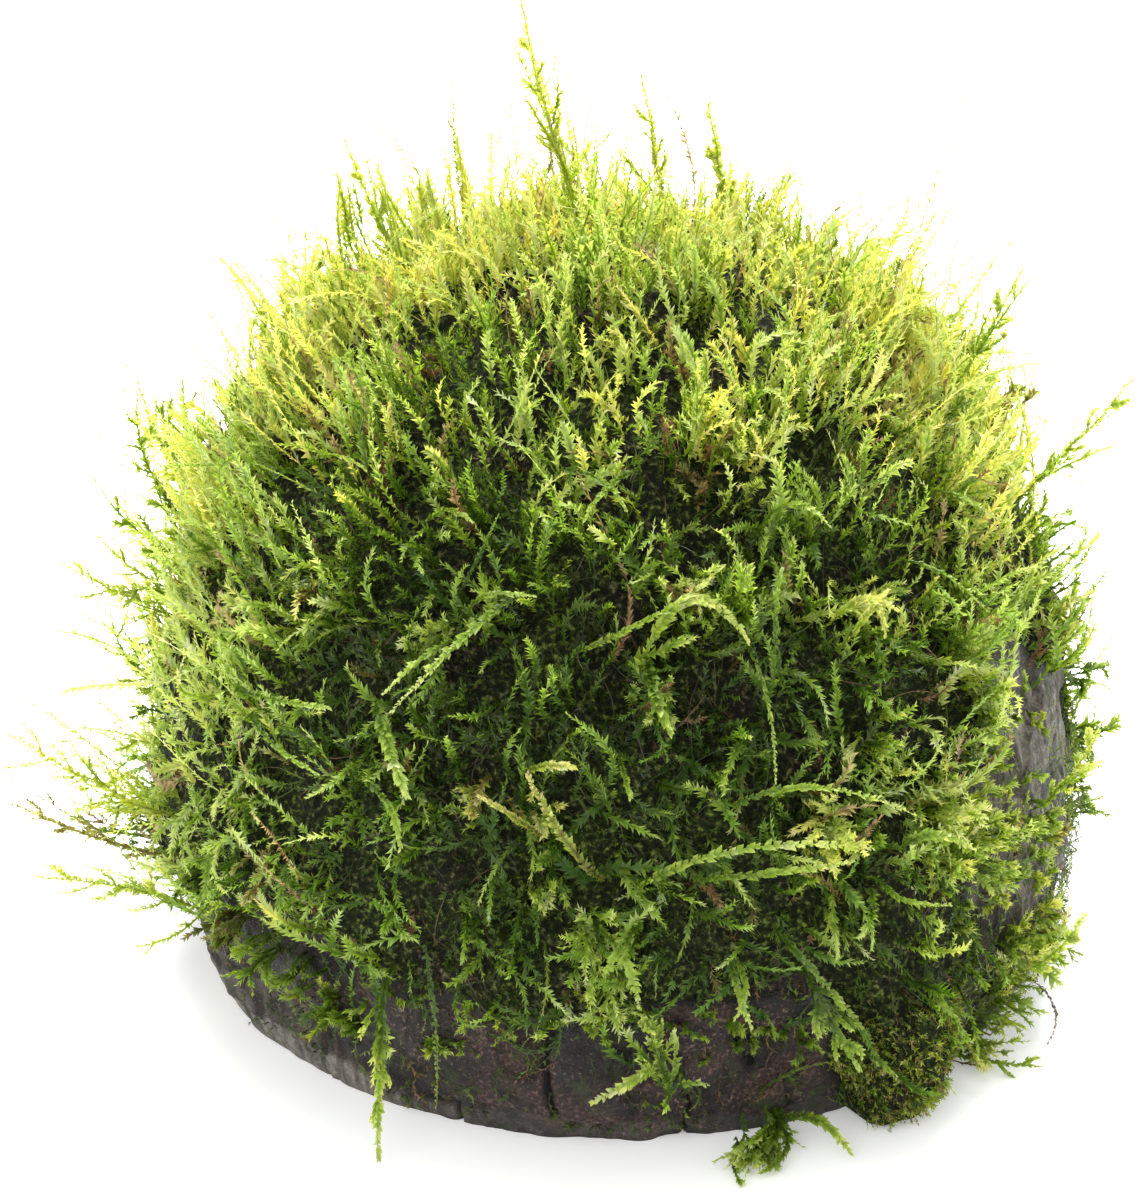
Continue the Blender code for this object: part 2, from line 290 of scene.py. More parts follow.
# %% Make a piece
def new_piece(name, points, triangles, material, replaced=(), facts=None, smooth=False):
    """Puts points and triangles into a mesh object, with facts as a colour attribute.

    Nothing goes through the table: heights below it are raised to it.
    """
    points[:, 2] = np.maximum(points[:, 2], 0.0)
    mesh = bpy.data.meshes.new(name)
    mesh.vertices.add(len(points))
    mesh.vertices.foreach_set("co", points.astype(np.float32).ravel())
    mesh.loops.add(triangles.size)
    mesh.loops.foreach_set("vertex_index", triangles.astype(np.int32).ravel())
    mesh.polygons.add(len(triangles))
    mesh.polygons.foreach_set("loop_start", np.arange(0, triangles.size, 3, dtype=np.int32))
    mesh.polygons.foreach_set("use_smooth", np.full(len(triangles), smooth))
    mesh.update(calc_edges=True)
    if facts is not None:
        layer = mesh.color_attributes.new("growth", 'FLOAT_COLOR', 'POINT')
        full = np.ones((len(points), 4), dtype=np.float32)
        full[:, :facts.shape[1]] = facts
        layer.data.foreach_set("color", full.ravel())
    mesh.materials.append(material)
    piece = bpy.data.objects.new(name, mesh)
    bpy.context.scene.collection.objects.link(piece)
    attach(piece, "root")
    if replaced:
        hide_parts(*replaced)
    print(f"{name}: {len(triangles)} triangles")
    return piece


# %% [markdown]
# ## Material helpers
#
# Materials here are small node trees. A few short helpers keep them readable: each adds one node,
# fills or links its inputs, and returns the socket that holds its result. Mottling is used by every
# material here, so it is a node group: soft spots of a chosen size and contrast.

# %% Node helpers
def add_node(tree, kind, values=None, **settings):
    """Adds a node, sets its properties, and fills its input sockets by name or number."""
    node = tree.nodes.new(kind)
    for key, value in settings.items():
        setattr(node, key, value)
    for key, value in (values or {}).items():
        node.inputs[key].default_value = value
    return node


def add_ramp(tree, value, *stops):
    """Adds a colour ramp with (place, colour) stops and feeds it a value. Returns its colour."""
    ramp = tree.nodes.new("ShaderNodeValToRGB")
    ramp.color_ramp.interpolation = 'EASE'
    while len(ramp.color_ramp.elements) < len(stops):
        ramp.color_ramp.elements.new(0.5)
    for element, (place, colour) in zip(ramp.color_ramp.elements, stops):
        element.position = place
        element.color = (*colour, 1.0)
    tree.links.new(value, ramp.inputs["Fac"])
    return ramp.outputs["Color"]


def mix_colours(tree, share, first, second, blend='MIX'):
    """Adds a colour mix. Each input is a socket or a fixed value. Returns the result's socket."""
    mix = tree.nodes.new("ShaderNodeMix")
    mix.data_type = 'RGBA'
    mix.blend_type = blend
    for socket, value in ((mix.inputs[0], share), (mix.inputs[6], first), (mix.inputs[7], second)):
        if isinstance(value, bpy.types.NodeSocket):
            tree.links.new(value, socket)
        elif isinstance(value, tuple):
            socket.default_value = (*value, 1.0)
        else:
            socket.default_value = value
    return mix.outputs[2]


def times(tree, colour, factor):
    """A colour multiplied by a fixed factor."""
    return mix_colours(tree, 1.0, colour, factor, 'MULTIPLY')


def times_where(tree, share, colour, factor):
    """A colour that is multiplied by a fixed factor where share is one."""
    return mix_colours(tree, share, colour, times(tree, colour, factor))


def add_range(tree, value, limits, **settings):
    """Adds a map of a value from one range to another. Returns its result."""
    spread = add_node(tree, "ShaderNodeMapRange", limits, **settings)
    tree.links.new(value, spread.inputs["Value"])
    return spread.outputs["Result"]


def add_bump(tree, height, strength, distance, under=None):
    """Adds a bump, over another bump's normal if there is one. Returns its normal."""
    bump = add_node(tree, "ShaderNodeBump", {"Strength": strength, "Distance": distance})
    tree.links.new(height, bump.inputs["Height"])
    if under is not None:
        tree.links.new(under, bump.inputs["Normal"])
    return bump.outputs["Normal"]


def growth_facts(tree):
    """Reads a piece's colour attribute. Returns its three values."""
    facts = add_node(tree, "ShaderNodeVertexColor", layer_name="growth")
    split = tree.nodes.new("ShaderNodeSeparateColor")
    tree.links.new(facts.outputs["Color"], split.inputs["Color"])
    return split.outputs[0], split.outputs[1], split.outputs[2]


def mottle_group():
    """Soft spots: noise at a scale, pushed apart by a contrast."""
    group = bpy.data.node_groups.new("mottle", 'ShaderNodeTree')
    group.interface.new_socket("Vector", in_out='INPUT', socket_type='NodeSocketVector')
    for name in ("Scale", "Detail", "From", "To"):
        group.interface.new_socket(name, in_out='INPUT', socket_type='NodeSocketFloat')
    group.interface.new_socket("Mask", in_out='OUTPUT', socket_type='NodeSocketFloat')
    enter = group.nodes.new("NodeGroupInput")
    leave = group.nodes.new("NodeGroupOutput")
    noise = add_node(group, "ShaderNodeTexNoise", {"Roughness": 0.6})
    spread = add_node(group, "ShaderNodeMapRange", interpolation_type='SMOOTHSTEP')
    for name in ("Vector", "Scale", "Detail"):
        group.links.new(enter.outputs[name], noise.inputs[name])
    group.links.new(noise.outputs["Fac"], spread.inputs["Value"])
    group.links.new(enter.outputs["From"], spread.inputs["From Min"])
    group.links.new(enter.outputs["To"], spread.inputs["From Max"])
    group.links.new(spread.outputs["Result"], leave.inputs["Mask"])
    return group


MOTTLE = mottle_group()


def add_mottle(tree, vector, scale, detail, low, high):
    """Places the mottle group in a material with its own values. Returns the mask's socket."""
    node = tree.nodes.new("ShaderNodeGroup")
    node.node_tree = MOTTLE
    tree.links.new(vector, node.inputs["Vector"])
    for name, value in (("Scale", scale), ("Detail", detail), ("From", low), ("To", high)):
        node.inputs[name].default_value = value
    return node.outputs["Mask"]


def new_material(name):
    """A node material. Returns it, its tree, its Principled shader and its Object coordinates."""
    material = bpy.data.materials.new(name)
    material.use_nodes = True
    tree = material.node_tree
    place = tree.nodes.new("ShaderNodeTexCoord").outputs["Object"]
    return material, tree, tree.nodes["Principled BSDF"], place


# %% [markdown]
# ## The wet shell
#
# A coconut shell stays rough outside: short husk fibres run from pole to pole, scraps of husk end
# in small ledges, and drying opens a few upright cracks. The saw leaves a paler, smoother band at
# the rim, with chips out of it. A plain egg with a bump map would keep a smooth outline, so these
# forms are real relief on one closed grid: up the outside, over the top and down the inside. The
# columns stand closer together at the front, where the shell is bare.

# %% Relief of the shell
COLUMNS = 480
CROWD = 0.5
LOW_ROWS = 84
HIGH_ROWS = 36
INNER_ROWS = 26
BARE_POLAR = math.radians(64)
PATCH_BEARING = math.radians(-22)
# Bearing of a painted sheen low on the shell's left.
SHEEN_BEARING = math.radians(-137)

# Upright cracks: bearing in degrees, then lowest and highest point, width and depth in millimetres
CRACKS = (
    (-99, 5, 16, 0.36, 1.6),
    (-82.6, 0, 9.5, 0.28, 1.1),
    (-112, 0, 5, 0.3, 0.8),
    (-70, 2, 9, 0.3, 0.7),
    (-24, 8, 27, 0.35, 0.9),
    (-133, 0, 6, 0.3, 0.7),
    (95, 3, 15, 0.45, 1.1),
)

# Rusty places on the band: bearing in degrees, then height, half width and half height in millimetres
RUSTY = (
    (-72.5, 6, 4.5, 3.5),
    (-87, 2.5, 3.5, 2),
    (-80, 12, 3, 2),
    (-103, 12, 3, 3),
)


def in_metres(rows):
    """Rows whose bearings are in degrees and sizes in millimetres, as radians and metres."""
    return [(math.radians(row[0]), *(size * MM for size in row[1:])) for row in rows]


def rusty_share(bearing, height):
    """How rusty the wood is: slow noise, and a bell round each rusty place."""
    places = egg(bearing, np.full_like(bearing, 1.9)) + height[..., None]
    share = 0.7 * smooth_step((soft_noise(places, 5.5 * MM) - 0.22) / 0.45)
    for middle, level, wide, tall in in_metres(RUSTY):
        across = turn_from(bearing, middle) * SHELL_RADIUS / wide
        share = np.maximum(share, np.exp(-(across**2) - ((height - level) / tall) ** 2))
    return share


def crack_depth(bearing, height, widen=1.0):
    """How deep the cracks are: a bell across each wandering line, fading out at its two ends.

    widen makes the bells wider, for the raw red wood beside each crack.
    """
    place = np.stack([bearing * 3.0, height / (4.0 * MM), np.zeros_like(height)], axis=-1)
    wander = soft_noise(place, 1.0) * 0.012 + soft_noise(place * np.array([8.0, 4.0, 1.0]), 1.0) * 0.005
    total = np.zeros_like(height)
    for middle, low, high, width, depth in in_metres(CRACKS):
        away = turn_from(bearing + wander, middle) * SHELL_RADIUS / (width * widen)
        ends = smooth_step((height - low) / (2.0 * MM) + 1.0) * smooth_step((high - height) / (3.0 * MM))
        total = np.maximum(total, depth * np.exp(-away * away) * ends)
    return total


def edge_band(height, bearing):
    """The sawn rim's pale band, from 0 to 1: the lowest three millimetres, uneven."""
    place = np.stack([np.cos(bearing), np.sin(bearing), np.zeros_like(bearing)], axis=-1)
    top = 3.2 * MM + 1.4 * MM * soft_noise(place, 0.22)
    return 1.0 - smooth_step((height - top) / (0.8 * MM) + 0.5)


def shell_relief(bearing, polar):
    """How far the real surface stands out from the egg: grains, fibres, dents, ledges and chips."""
    smooth = egg(bearing, polar)
    height = smooth[..., 2]
    ring = bearing * SHELL_RADIUS
    fibre_place = np.stack([ring / (1.5 * MM), height / (7.0 * MM), ring * 0.0], axis=-1)
    fibres = 0.13 * MM * soft_noise(fibre_place, 1.0)
    grains = 0.26 * MM * soft_noise(smooth, 1.5 * MM) + 0.20 * MM * soft_noise(smooth, 0.85 * MM, 4.0)
    dents = 0.40 * MM * soft_noise(smooth, 9.0 * MM) + 0.24 * MM * soft_noise(smooth, 3.4 * MM, 5.0)
    husk = soft_noise(smooth * np.array([1.0, 1.0, 1.2]), 7.0 * MM, 9.0)
    ledges = 0.90 * MM * smooth_step((husk - 0.12) / 0.07) + 0.70 * MM * smooth_step((husk + 0.35) / 0.07)
    band = edge_band(height, bearing)
    relief = (grains + ledges - 0.8 * MM) * (1.0 - 0.8 * band) + fibres + dents
    chips = soft_noise(np.stack([ring / (7.0 * MM), height / (7.0 * MM), ring * 0.0 + 8.0], axis=-1), 1.0)
    chipped = smooth_step((chips - 0.1) / 0.7) * smooth_step(1.0 - height / (2.6 * MM))
    return relief - 0.9 * MM * chipped - crack_depth(bearing, height)


# %% [markdown]
# The grid closes on itself: the outside's lowest ring is joined to the inside's by the sawn face,
# and each surface ends in one point at its pole.

# %% Grid of the shell
def halves(a, b, c, d):
    """Both triangles of every face with the corners a, b, d and c."""
    return np.concatenate([np.stack(half, -1).reshape(-1, 3) for half in ((a, b, d), (a, d, c))])


def ring_faces(rows, columns, start):
    """Triangles between neighbouring rings of points, each ring closed on itself."""
    row = np.arange(rows - 1)[:, None] * columns
    here = np.arange(columns)[None, :]
    after = (here + 1) % columns
    a, b = start + row + here, start + row + after
    return halves(a, b, a + columns, b + columns)


def cap_faces(ring, columns, pole):
    """Triangles from a closed ring of points, which starts at number ring, to its pole."""
    here = np.arange(columns)
    return np.stack([ring + here, ring + (here + 1) % columns, np.full(columns, pole)], -1)


def rim_faces(outer, inner):
    """Triangles of the sawn face between two rings of the shell."""
    here = np.arange(COLUMNS)
    after = (here + 1) % COLUMNS
    return np.concatenate([
        np.stack([outer + here, inner + after, outer + after], -1),
        np.stack([outer + here, inner + here, inner + after], -1),
    ])


def shell_facts_of(wide, tall, relief, height):
    """How much painted shade each outside point has, in grooves, cracks and under the moss, how rusty and how
    pale it is.
    """
    # Painted shade: deep relief and cracks are darkened, and so is the wood under the moss.
    crack = smooth_step(crack_depth(wide, height) / (0.9 * MM))
    painted_shade = np.maximum(smooth_step((-relief - 0.2 * MM) / (1.4 * MM)), crack)
    shade_under_moss = smooth_step(depth_at(wide, tall) / (2.0 * MM))
    beside_crack = smooth_step(crack_depth(wide, height, 3.5) / (1.6 * MM))
    rust = np.maximum(rusty_share(wide, height), beside_crack) * (1.0 - crack)
    left = smooth_step((-0.25 - turn_from(wide, FRONT)) / 0.5)
    band = edge_band(height, wide) * (0.2 + 0.8 * left)
    away = turn_from(wide, PATCH_BEARING)
    weathered = 0.8 * smooth_step(1.5 - np.hypot(away / 0.42, (height - 36 * MM) / (20 * MM)))
    # Painted sheen: a pale spot low on the left of the front, where the wet shell catches the light.
    aside = turn_from(wide, SHEEN_BEARING)
    painted_sheen = 0.5 * np.exp(-((aside / 0.30) ** 2) - ((height - 4 * MM) / (12 * MM)) ** 2)
    painted_sheen = painted_sheen * (0.7 + 0.6 * soft_noise(egg(wide, tall), 3.0 * MM, 23.0))
    pale = np.maximum(np.maximum(band, weathered), painted_sheen)
    return np.stack([np.maximum(painted_shade, shade_under_moss), rust, pale], axis=-1).reshape(-1, 3)


def shell_arrays():
    """Points, triangles and facts of the shell: outside, sawn rim, inside and both poles."""
    turn = np.linspace(0.0, math.tau, COLUMNS, endpoint=False)
    bearing = turn - CROWD * np.sin(turn - FRONT)
    low = np.linspace(RIM_POLAR, BARE_POLAR, LOW_ROWS, endpoint=False)
    high = np.linspace(BARE_POLAR, 0.03, HIGH_ROWS)
    polar = np.concatenate([low, high])
    wide, tall = np.meshgrid(bearing, polar)
    relief = shell_relief(wide, tall)
    outside = egg(wide, tall, relief)
    outside[0, :, 2] = 0.0
    inner_polar = np.linspace(RIM_POLAR, 0.05, INNER_ROWS)
    wide_in, tall_in = np.meshgrid(bearing, inner_polar)
    worn = 0.25 * MM * soft_noise(egg(wide_in, tall_in), 11.0 * MM, 2.0)
    inside = egg(wide_in, tall_in, worn - WALL)
    inside[0, :, 2] = 0.0
    middle_rim = (outside[:1] + inside[:1]) / 2
    top = egg(np.zeros(1), np.zeros(1), relief[-1:].mean())
    under = egg(np.zeros(1), np.zeros(1), -WALL)
    points = np.concatenate([
        outside.reshape(-1, 3), middle_rim.reshape(-1, 3), inside.reshape(-1, 3), top, under,
    ])
    outer_rows = LOW_ROWS + HIGH_ROWS
    first_rim = outer_rows * COLUMNS
    first_in = first_rim + COLUMNS
    last_in = first_in + (INNER_ROWS - 1) * COLUMNS
    pole = len(points) - 2
    triangles = np.concatenate([
        ring_faces(outer_rows, COLUMNS, 0),
        ring_faces(INNER_ROWS, COLUMNS, first_in)[:, ::-1],
        rim_faces(0, first_rim),
        rim_faces(first_rim, first_in),
        cap_faces(first_rim - COLUMNS, COLUMNS, pole),
        cap_faces(last_in, COLUMNS, pole + 1)[:, [1, 0, 2]],
    ])
    facts = np.zeros((len(points), 3))
    facts[:first_rim] = shell_facts_of(wide, tall, relief, outside[..., 2])
    facts[first_rim:first_in, 2] = 1.0
    return points, triangles, facts


# %% [markdown]
# The finish is wet and dark. Grooves, cracks and the wood under the moss are painted almost black,
# as painted shade. Fibres catch a little light, some places are rusty red or purplish, green algae
# sits in soft spots, and the sawn band is a paler grey. All of it is noise on Object coordinates,
# and the noise of the fibres is stretched upright.

# %% Material of the shell
def shell_material():
    """Dark wet wood: fibre colours, rust, algae and pale edge, with painted shade in grooves, cracks and
    under the moss, and bump and gloss from fibres.
    """
    material, tree, shader, place = new_material("wet coconut shell")
    upright = add_node(tree, "ShaderNodeMapping", {"Scale": (1.0, 1.0, 0.13)})
    tree.links.new(place, upright.inputs["Vector"])
    painted_shade, rust, band = growth_facts(tree)

    fibres = add_mottle(tree, upright.outputs["Vector"], 900.0, 5.0, 0.30, 0.74)
    grains = add_mottle(tree, place, 2100.0, 8.0, 0.38, 0.70)
    broad = add_mottle(tree, place, 150.0, 6.0, 0.38, 0.62)
    soil = add_mottle(tree, place, 330.0, 7.0, 0.42, 0.60)
    algae = add_mottle(tree, place, 210.0, 7.0, 0.55, 0.66)
    sparks = add_mottle(tree, place, 1700.0, 3.0, 0.60, 0.68)
    wood = add_ramp(tree, grains, (0.0, (0.004, 0.003, 0.003)), (0.45, (0.016, 0.012, 0.010)),
                    (0.8, (0.048, 0.036, 0.030)), (1.0, (0.145, 0.114, 0.098)))
    streaks = mix_colours(tree, fibres, (0.62, 0.60, 0.62), (1.25, 1.2, 1.18))
    colour = mix_colours(tree, 1.0, wood, streaks, 'MULTIPLY')
    colour = times_where(tree, broad, colour, (2.3, 1.95, 1.85))
    colour = times_where(tree, soil, colour, (0.38, 0.36, 0.34))
    rusty = mix_colours(tree, grains, (0.014, 0.007, 0.006), (0.17, 0.090, 0.070))
    colour = mix_colours(tree, rust, colour, rusty)
    pale = mix_colours(tree, fibres, (0.065, 0.056, 0.047), (0.33, 0.300, 0.250))
    # The pale channel holds the sawn band, the weathered patch and the painted sheen low on the left.
    colour = mix_colours(tree, band, colour, pale)
    colour = mix_colours(tree, algae, colour, (0.026, 0.034, 0.010))
    # Painted shade: grooves, cracks and the wood under the moss go almost black.
    colour = mix_colours(tree, painted_shade, colour, (0.005, 0.0045, 0.004))
    tree.links.new(colour, shader.inputs["Base Color"])

    gloss = add_range(tree, sparks, {"To Min": 0.68, "To Max": 0.22})
    tree.links.new(gloss, shader.inputs["Roughness"])
    shader.inputs["Specular IOR Level"].default_value = 0.4
    coarse = add_bump(tree, grains, 0.9, 0.42 * MM)
    tree.links.new(add_bump(tree, fibres, 0.5, 0.25 * MM, coarse), shader.inputs["Normal"])
    return material


shell_points, shell_triangles, shell_facts = shell_arrays()
new_piece("shell", shell_points, shell_triangles, shell_material(),
          ("coconut_shell",), shell_facts, smooth=True)

# %% [markdown]
# ## How a frond is built
#
# A frond of java moss is a thin stem with a row of small pointed leaves on each side, lying almost
# in one plane, like a tiny feather. Longer fronds carry side branches built the same way. Hair or
# instances would not survive the export, so fronds are real triangles: a stem is a narrow ribbon
# or a five-sided tube. A leaf is a kite of two triangles, folded a little along its middle, or one
# pointed triangle in the thick of the cushion. Fronds of one kind are worked out together.

# %% Paths and leaves
LEAF_LENGTH = 1.05 * MM
LEAF_WIDTH = 0.62
LEAF_ANGLE = math.radians(38)
STEM_RADIUS = 0.18 * MM
THREAD_RADIUS = 0.09 * MM


def arc(start, middle, end, count):
    """Points on parabolas: (1-t)^2 start + 2t(1-t) middle + t^2 end, count points on each."""
    t = np.linspace(0.0, 1.0, count)[None, :, None]
    return (1 - t) ** 2 * start[:, None] + 2 * t * (1 - t) * middle[:, None] + t**2 * end[:, None]


def directions(paths, facing):
    """Tangent, side and face of each path point: side = tangent x facing, face = side x tangent."""
    tangent = unit(np.gradient(paths, axis=1))
    side = unit(np.cross(tangent, facing[:, None, :]))
    return tangent, side, np.cross(side, tangent)


def along(values, shares):
    """Values at shares of each path, between its two nearest points. Shares are one row per path."""
    last = values.shape[1] - 1
    place = np.clip(shares, 0.0, 0.9999) * last
    low = np.floor(place).astype(int)
    part = (place - low)[..., None]
    row = np.arange(len(values))[:, None]
    return values[row, low] * (1.0 - part) + values[row, low + 1] * part


def join(parts):
    """Several (points, triangles, facts) sets as one, with the triangles' numbers moved on."""
    starts = np.cumsum([0] + [len(part[0]) for part in parts[:-1]])
    points = np.concatenate([part[0] for part in parts])
    triangles = np.concatenate([part[1] + start for part, start in zip(parts, starts)])
    return points, triangles, np.concatenate([part[2] for part in parts])


def leaf_rows(paths, facing, count, draw, facts, size, plain=False, bare=0.0):
    """Two rows of count leaves on each path.

    A leaf leaves the stem toward its side, at LEAF_ANGLE times the frond's own spread: narrow
    fronds look braided and broad ones feathered. It folds up along its midrib: two triangles, or
    one pointed triangle where it is plain. facts holds one row per path: how young its root and
    its tip are, its tint and how withered it is. Youth goes from the first to the second.
    """
    tangent, side, face = directions(paths, facing)
    shape = (len(paths), count)
    spread_out = draw.uniform(0.5, 1.25, (len(paths), 1))
    points, leaf_facts = [], []
    for hand in (-1.0, 1.0):
        step = np.arange(count)[None, :] + 0.5 + 0.25 * hand + draw.uniform(-0.25, 0.25, shape)
        step = step / count
        share = bare + (1.0 - bare) * np.clip(step, 0.0, 1.0)
        base = along(paths, share)
        t, s, f = along(tangent, share), along(side, share), along(face, share)
        tip_share = smooth_step((share - 0.75) / 0.25)
        angle = LEAF_ANGLE * spread_out * (1.0 - 0.35 * tip_share) + draw.normal(0.0, 0.22, shape)
        lift = draw.normal(0.16, 0.38, shape)
        forward, sideways = np.cos(angle)[..., None], (hand * np.sin(angle))[..., None]
        way = unit(forward * t + sideways * s + lift[..., None] * f)
        profile = 0.70 + 0.30 * np.sin(math.pi * np.clip(share * 0.9 + 0.1, 0.0, 1.0)) - 0.10 * tip_share
        length = LEAF_LENGTH * size[:, None] * profile * (0.65 + 0.4 * spread_out)
        length = (length * draw.uniform(0.6, 1.3, shape))[..., None]
        tip = base + way * length + t * length * 0.08
        if plain:
            foot = t * length * (LEAF_WIDTH * 0.55)
            corners = [base - foot, tip, base + foot]
        else:
            across = unit(np.cross(f, way) + draw.normal(0.0, 0.35, (*shape, 1)) * f)
            half = across * length * (LEAF_WIDTH / 2)
            spread = base + way * length * 0.40 + f * length * 0.10
            corners = [base, spread - half, tip, spread + half]
        points.append(np.stack(corners, axis=2).reshape(-1, 3))
        young = facts[:, :1] + (facts[:, 1:2] - facts[:, :1]) * share + draw.normal(0.0, 0.06, shape)
        tint = facts[:, 2:3] + draw.normal(0.0, 0.07, shape)
        rust = facts[:, 3:4] + draw.normal(0.0, 0.07, shape)
        values = np.stack([young, tint, rust], axis=-1)[:, :, None, :].repeat(len(corners), axis=2)
        values[:, :, 0, 0] -= 0.14
        values[:, :, 1 if plain else 2, 0] += 0.14
        leaf_facts.append(values.reshape(-1, 3))
    points = np.concatenate(points)
    row = np.arange(0, len(points), len(corners))[:, None]
    triangles = row + np.array([0, 1, 2])
    if not plain:
        triangles = np.concatenate([triangles, row + np.array([0, 2, 3])])
    return points, triangles, np.concatenate(leaf_facts)


def stems(paths, facing, radius, facts, sides=2):
    """A stem along each path: a ribbon where sides is 2, or a closed tube that tapers to its tip."""
    _, side, face = directions(paths, facing)
    amount, count = paths.shape[:2]
    taper = radius[:, None] * (1.0 - 0.75 * np.linspace(0.0, 1.0, count)[None, :] ** 1.5)
    turn = np.arange(sides) * math.tau / sides
    ring = (side[:, :, None] * np.cos(turn)[:, None] + face[:, :, None] * np.sin(turn)[:, None])
    points = paths[:, :, None] + ring * taper[:, :, None, None]
    first = np.arange(amount)[:, None, None] * count * sides
    row = np.arange(count - 1)[None, :, None] * sides
    spans = sides if sides > 2 else 1
    here = np.arange(spans)[None, None, :]
    after = (here + 1) % sides
    a, b = first + row + here, first + row + after
    triangles = halves(a, b, a + sides, b + sides)
    young = facts[:, :1] + (facts[:, 1:2] - facts[:, :1]) * np.linspace(0.0, 1.0, count)[None, :]
    others = np.repeat(facts[:, None, 2:], count, axis=1)
    stem_facts = np.concatenate([young[..., None] - 0.1, others], axis=-1)
    return points.reshape(-1, 3), triangles, stem_facts[:, :, None].repeat(sides, axis=2).reshape(-1, 3)


def side_branches(paths, facing, count, length, draw, facts, first=0.2, last=0.85, points=5):
    """Paths of count branches on each path, left and right in turn, which bend toward its tip."""
    tangent, side, face = directions(paths, facing)
    amount = len(paths)
    number = np.arange(count)[None, :]
    share = first + (last - first) * (number + draw.uniform(0.1, 0.9, (amount, count))) / count
    hand = np.where((number + draw.integers(0, 2, (amount, 1))) % 2 == 0, 1.0, -1.0)[..., None]
    base = along(paths, share)
    t, s, f = along(tangent, share), along(side, share), along(face, share)
    reach = (length[:, None] * (1.0 - 0.5 * share) * draw.uniform(0.55, 1.15, share.shape))[..., None]
    lift = draw.normal(0.12, 0.22, (amount, count, 1))
    middle = base + reach * 0.5 * unit(0.65 * t + hand * 0.8 * s + lift * f)
    end = base + reach * unit(0.95 * t + hand * 0.55 * s + 1.3 * lift * f + np.array([0.0, 0.0, -0.1]))
    branches = arc(base.reshape(-1, 3), middle.reshape(-1, 3), end.reshape(-1, 3), points)
    branch_facts = np.repeat(facts, count, axis=0)
    branch_facts[:, 0] += (branch_facts[:, 1] - branch_facts[:, 0]) * share.ravel() * 0.8
    return branches, np.repeat(facing, count, axis=0), branch_facts


def lengths_of(paths):
    """How long each path is: its steps added up."""
    return np.linalg.norm(np.diff(paths, axis=1), axis=-1).sum(axis=1)


def fronds(paths, facing, facts, draw, leaves, branches=0, branch_leaves=8, branch_share=0.5, size=1.0,
           sides=2, plain=False, bare=0.0):
    """Whole fronds: stem, leaves and leafed side branches, as one set of arrays."""
    size = np.broadcast_to(size, len(paths))
    parts = [
        stems(paths, facing, STEM_RADIUS * size, facts, sides),
        leaf_rows(paths, facing, leaves, draw, facts, size, plain, bare),
    ]
    if branches:
        length = lengths_of(paths) * branch_share
        more, more_facing, more_facts = side_branches(paths, facing, branches, length, draw, facts)
        more_size = np.repeat(size, branches) * 0.88
        parts.append(stems(more, more_facing, STEM_RADIUS * more_size * 0.8, more_facts, 2))
        parts.append(leaf_rows(more, more_facing, branch_leaves, draw, more_facts, more_size, plain))
    return join(parts)


# %% [markdown]
# ## The colour of moss
#
# Old parts of a frond are dark green, the middle is a full green, and tips are yellow-green to
# almost white. A few fronds have gone tan, pink or rust brown. Each point carries three facts: how
# young it is, its frond's own tint, and how far it has withered; youth also carries the painted
# light and shade that each frond gets from its place. Ramps turn these into colour, and greyer
# spots are partly faded leaves, partly a painted wet sheen. Wet leaves shine, and light from
# behind shows through them, so a translucent shader is mixed in.

# %% Material of the moss
def moss_material(name, deep, middle, bright, tip, through):
    """Leaf colours from the growth facts, with a wet gloss and light that passes through."""
    material, tree, shader, place = new_material(name)
    young, tint, rust = growth_facts(tree)
    age = add_ramp(tree, young, (0.0, deep), (0.42, middle), (0.78, bright), (1.0, tip))
    warm = add_ramp(tree, tint, (0.0, (0.62, 0.82, 0.62)), (0.5, (1.0, 1.0, 1.0)), (1.0, (1.45, 1.12, 0.95)))
    colour = mix_colours(tree, 1.0, age, warm, 'MULTIPLY')
    spots = add_mottle(tree, place, 140.0, 4.0, 0.35, 0.7)
    colour = times_where(tree, spots, colour, (0.72, 0.82, 0.62))
    # Greyer spots: partly faded leaves, partly a painted wet sheen.
    faded_and_sheen = add_mottle(tree, place, 320.0, 4.0, 0.50, 0.68)
    colour = times_where(tree, faded_and_sheen, colour, (1.03, 0.95, 1.9))
    old = add_ramp(tree, young, (0.0, (0.07, 0.038, 0.018)), (0.6, (0.28, 0.155, 0.065)),
                   (1.0, (0.56, 0.42, 0.22)))
    withered = add_range(tree, rust, {"From Min": 0.35, "From Max": 0.75}, interpolation_type='SMOOTHSTEP')
    flecks = add_mottle(tree, place, 1300.0, 4.0, 0.38, 0.62)
    dry = times_where(tree, flecks, old, (0.36, 0.34, 0.30))
    colour = mix_colours(tree, withered, colour, dry)
    tree.links.new(colour, shader.inputs["Base Color"])

    drops = add_mottle(tree, place, 2300.0, 3.0, 0.58, 0.70)
    gloss = add_range(tree, drops, {"To Min": 0.46, "To Max": 0.10})
    tree.links.new(gloss, shader.inputs["Roughness"])
    shader.inputs["Specular IOR Level"].default_value = 0.42
    light = tree.nodes.new("ShaderNodeBsdfTranslucent")
    tree.links.new(times(tree, colour, (1.25, 1.3, 0.7)), light.inputs["Color"])
    both = add_node(tree, "ShaderNodeMixShader", {"Fac": through})
    tree.links.new(shader.outputs["BSDF"], both.inputs[1])
    tree.links.new(light.outputs["BSDF"], both.inputs[2])
    tree.links.new(both.outputs["Shader"], tree.nodes["Material Output"].inputs["Surface"])
    return material


MOSS = moss_material("java moss", (0.021, 0.034, 0.004), (0.068, 0.128, 0.008),
                     (0.26, 0.37, 0.034), (0.56, 0.63, 0.19), 0.42)

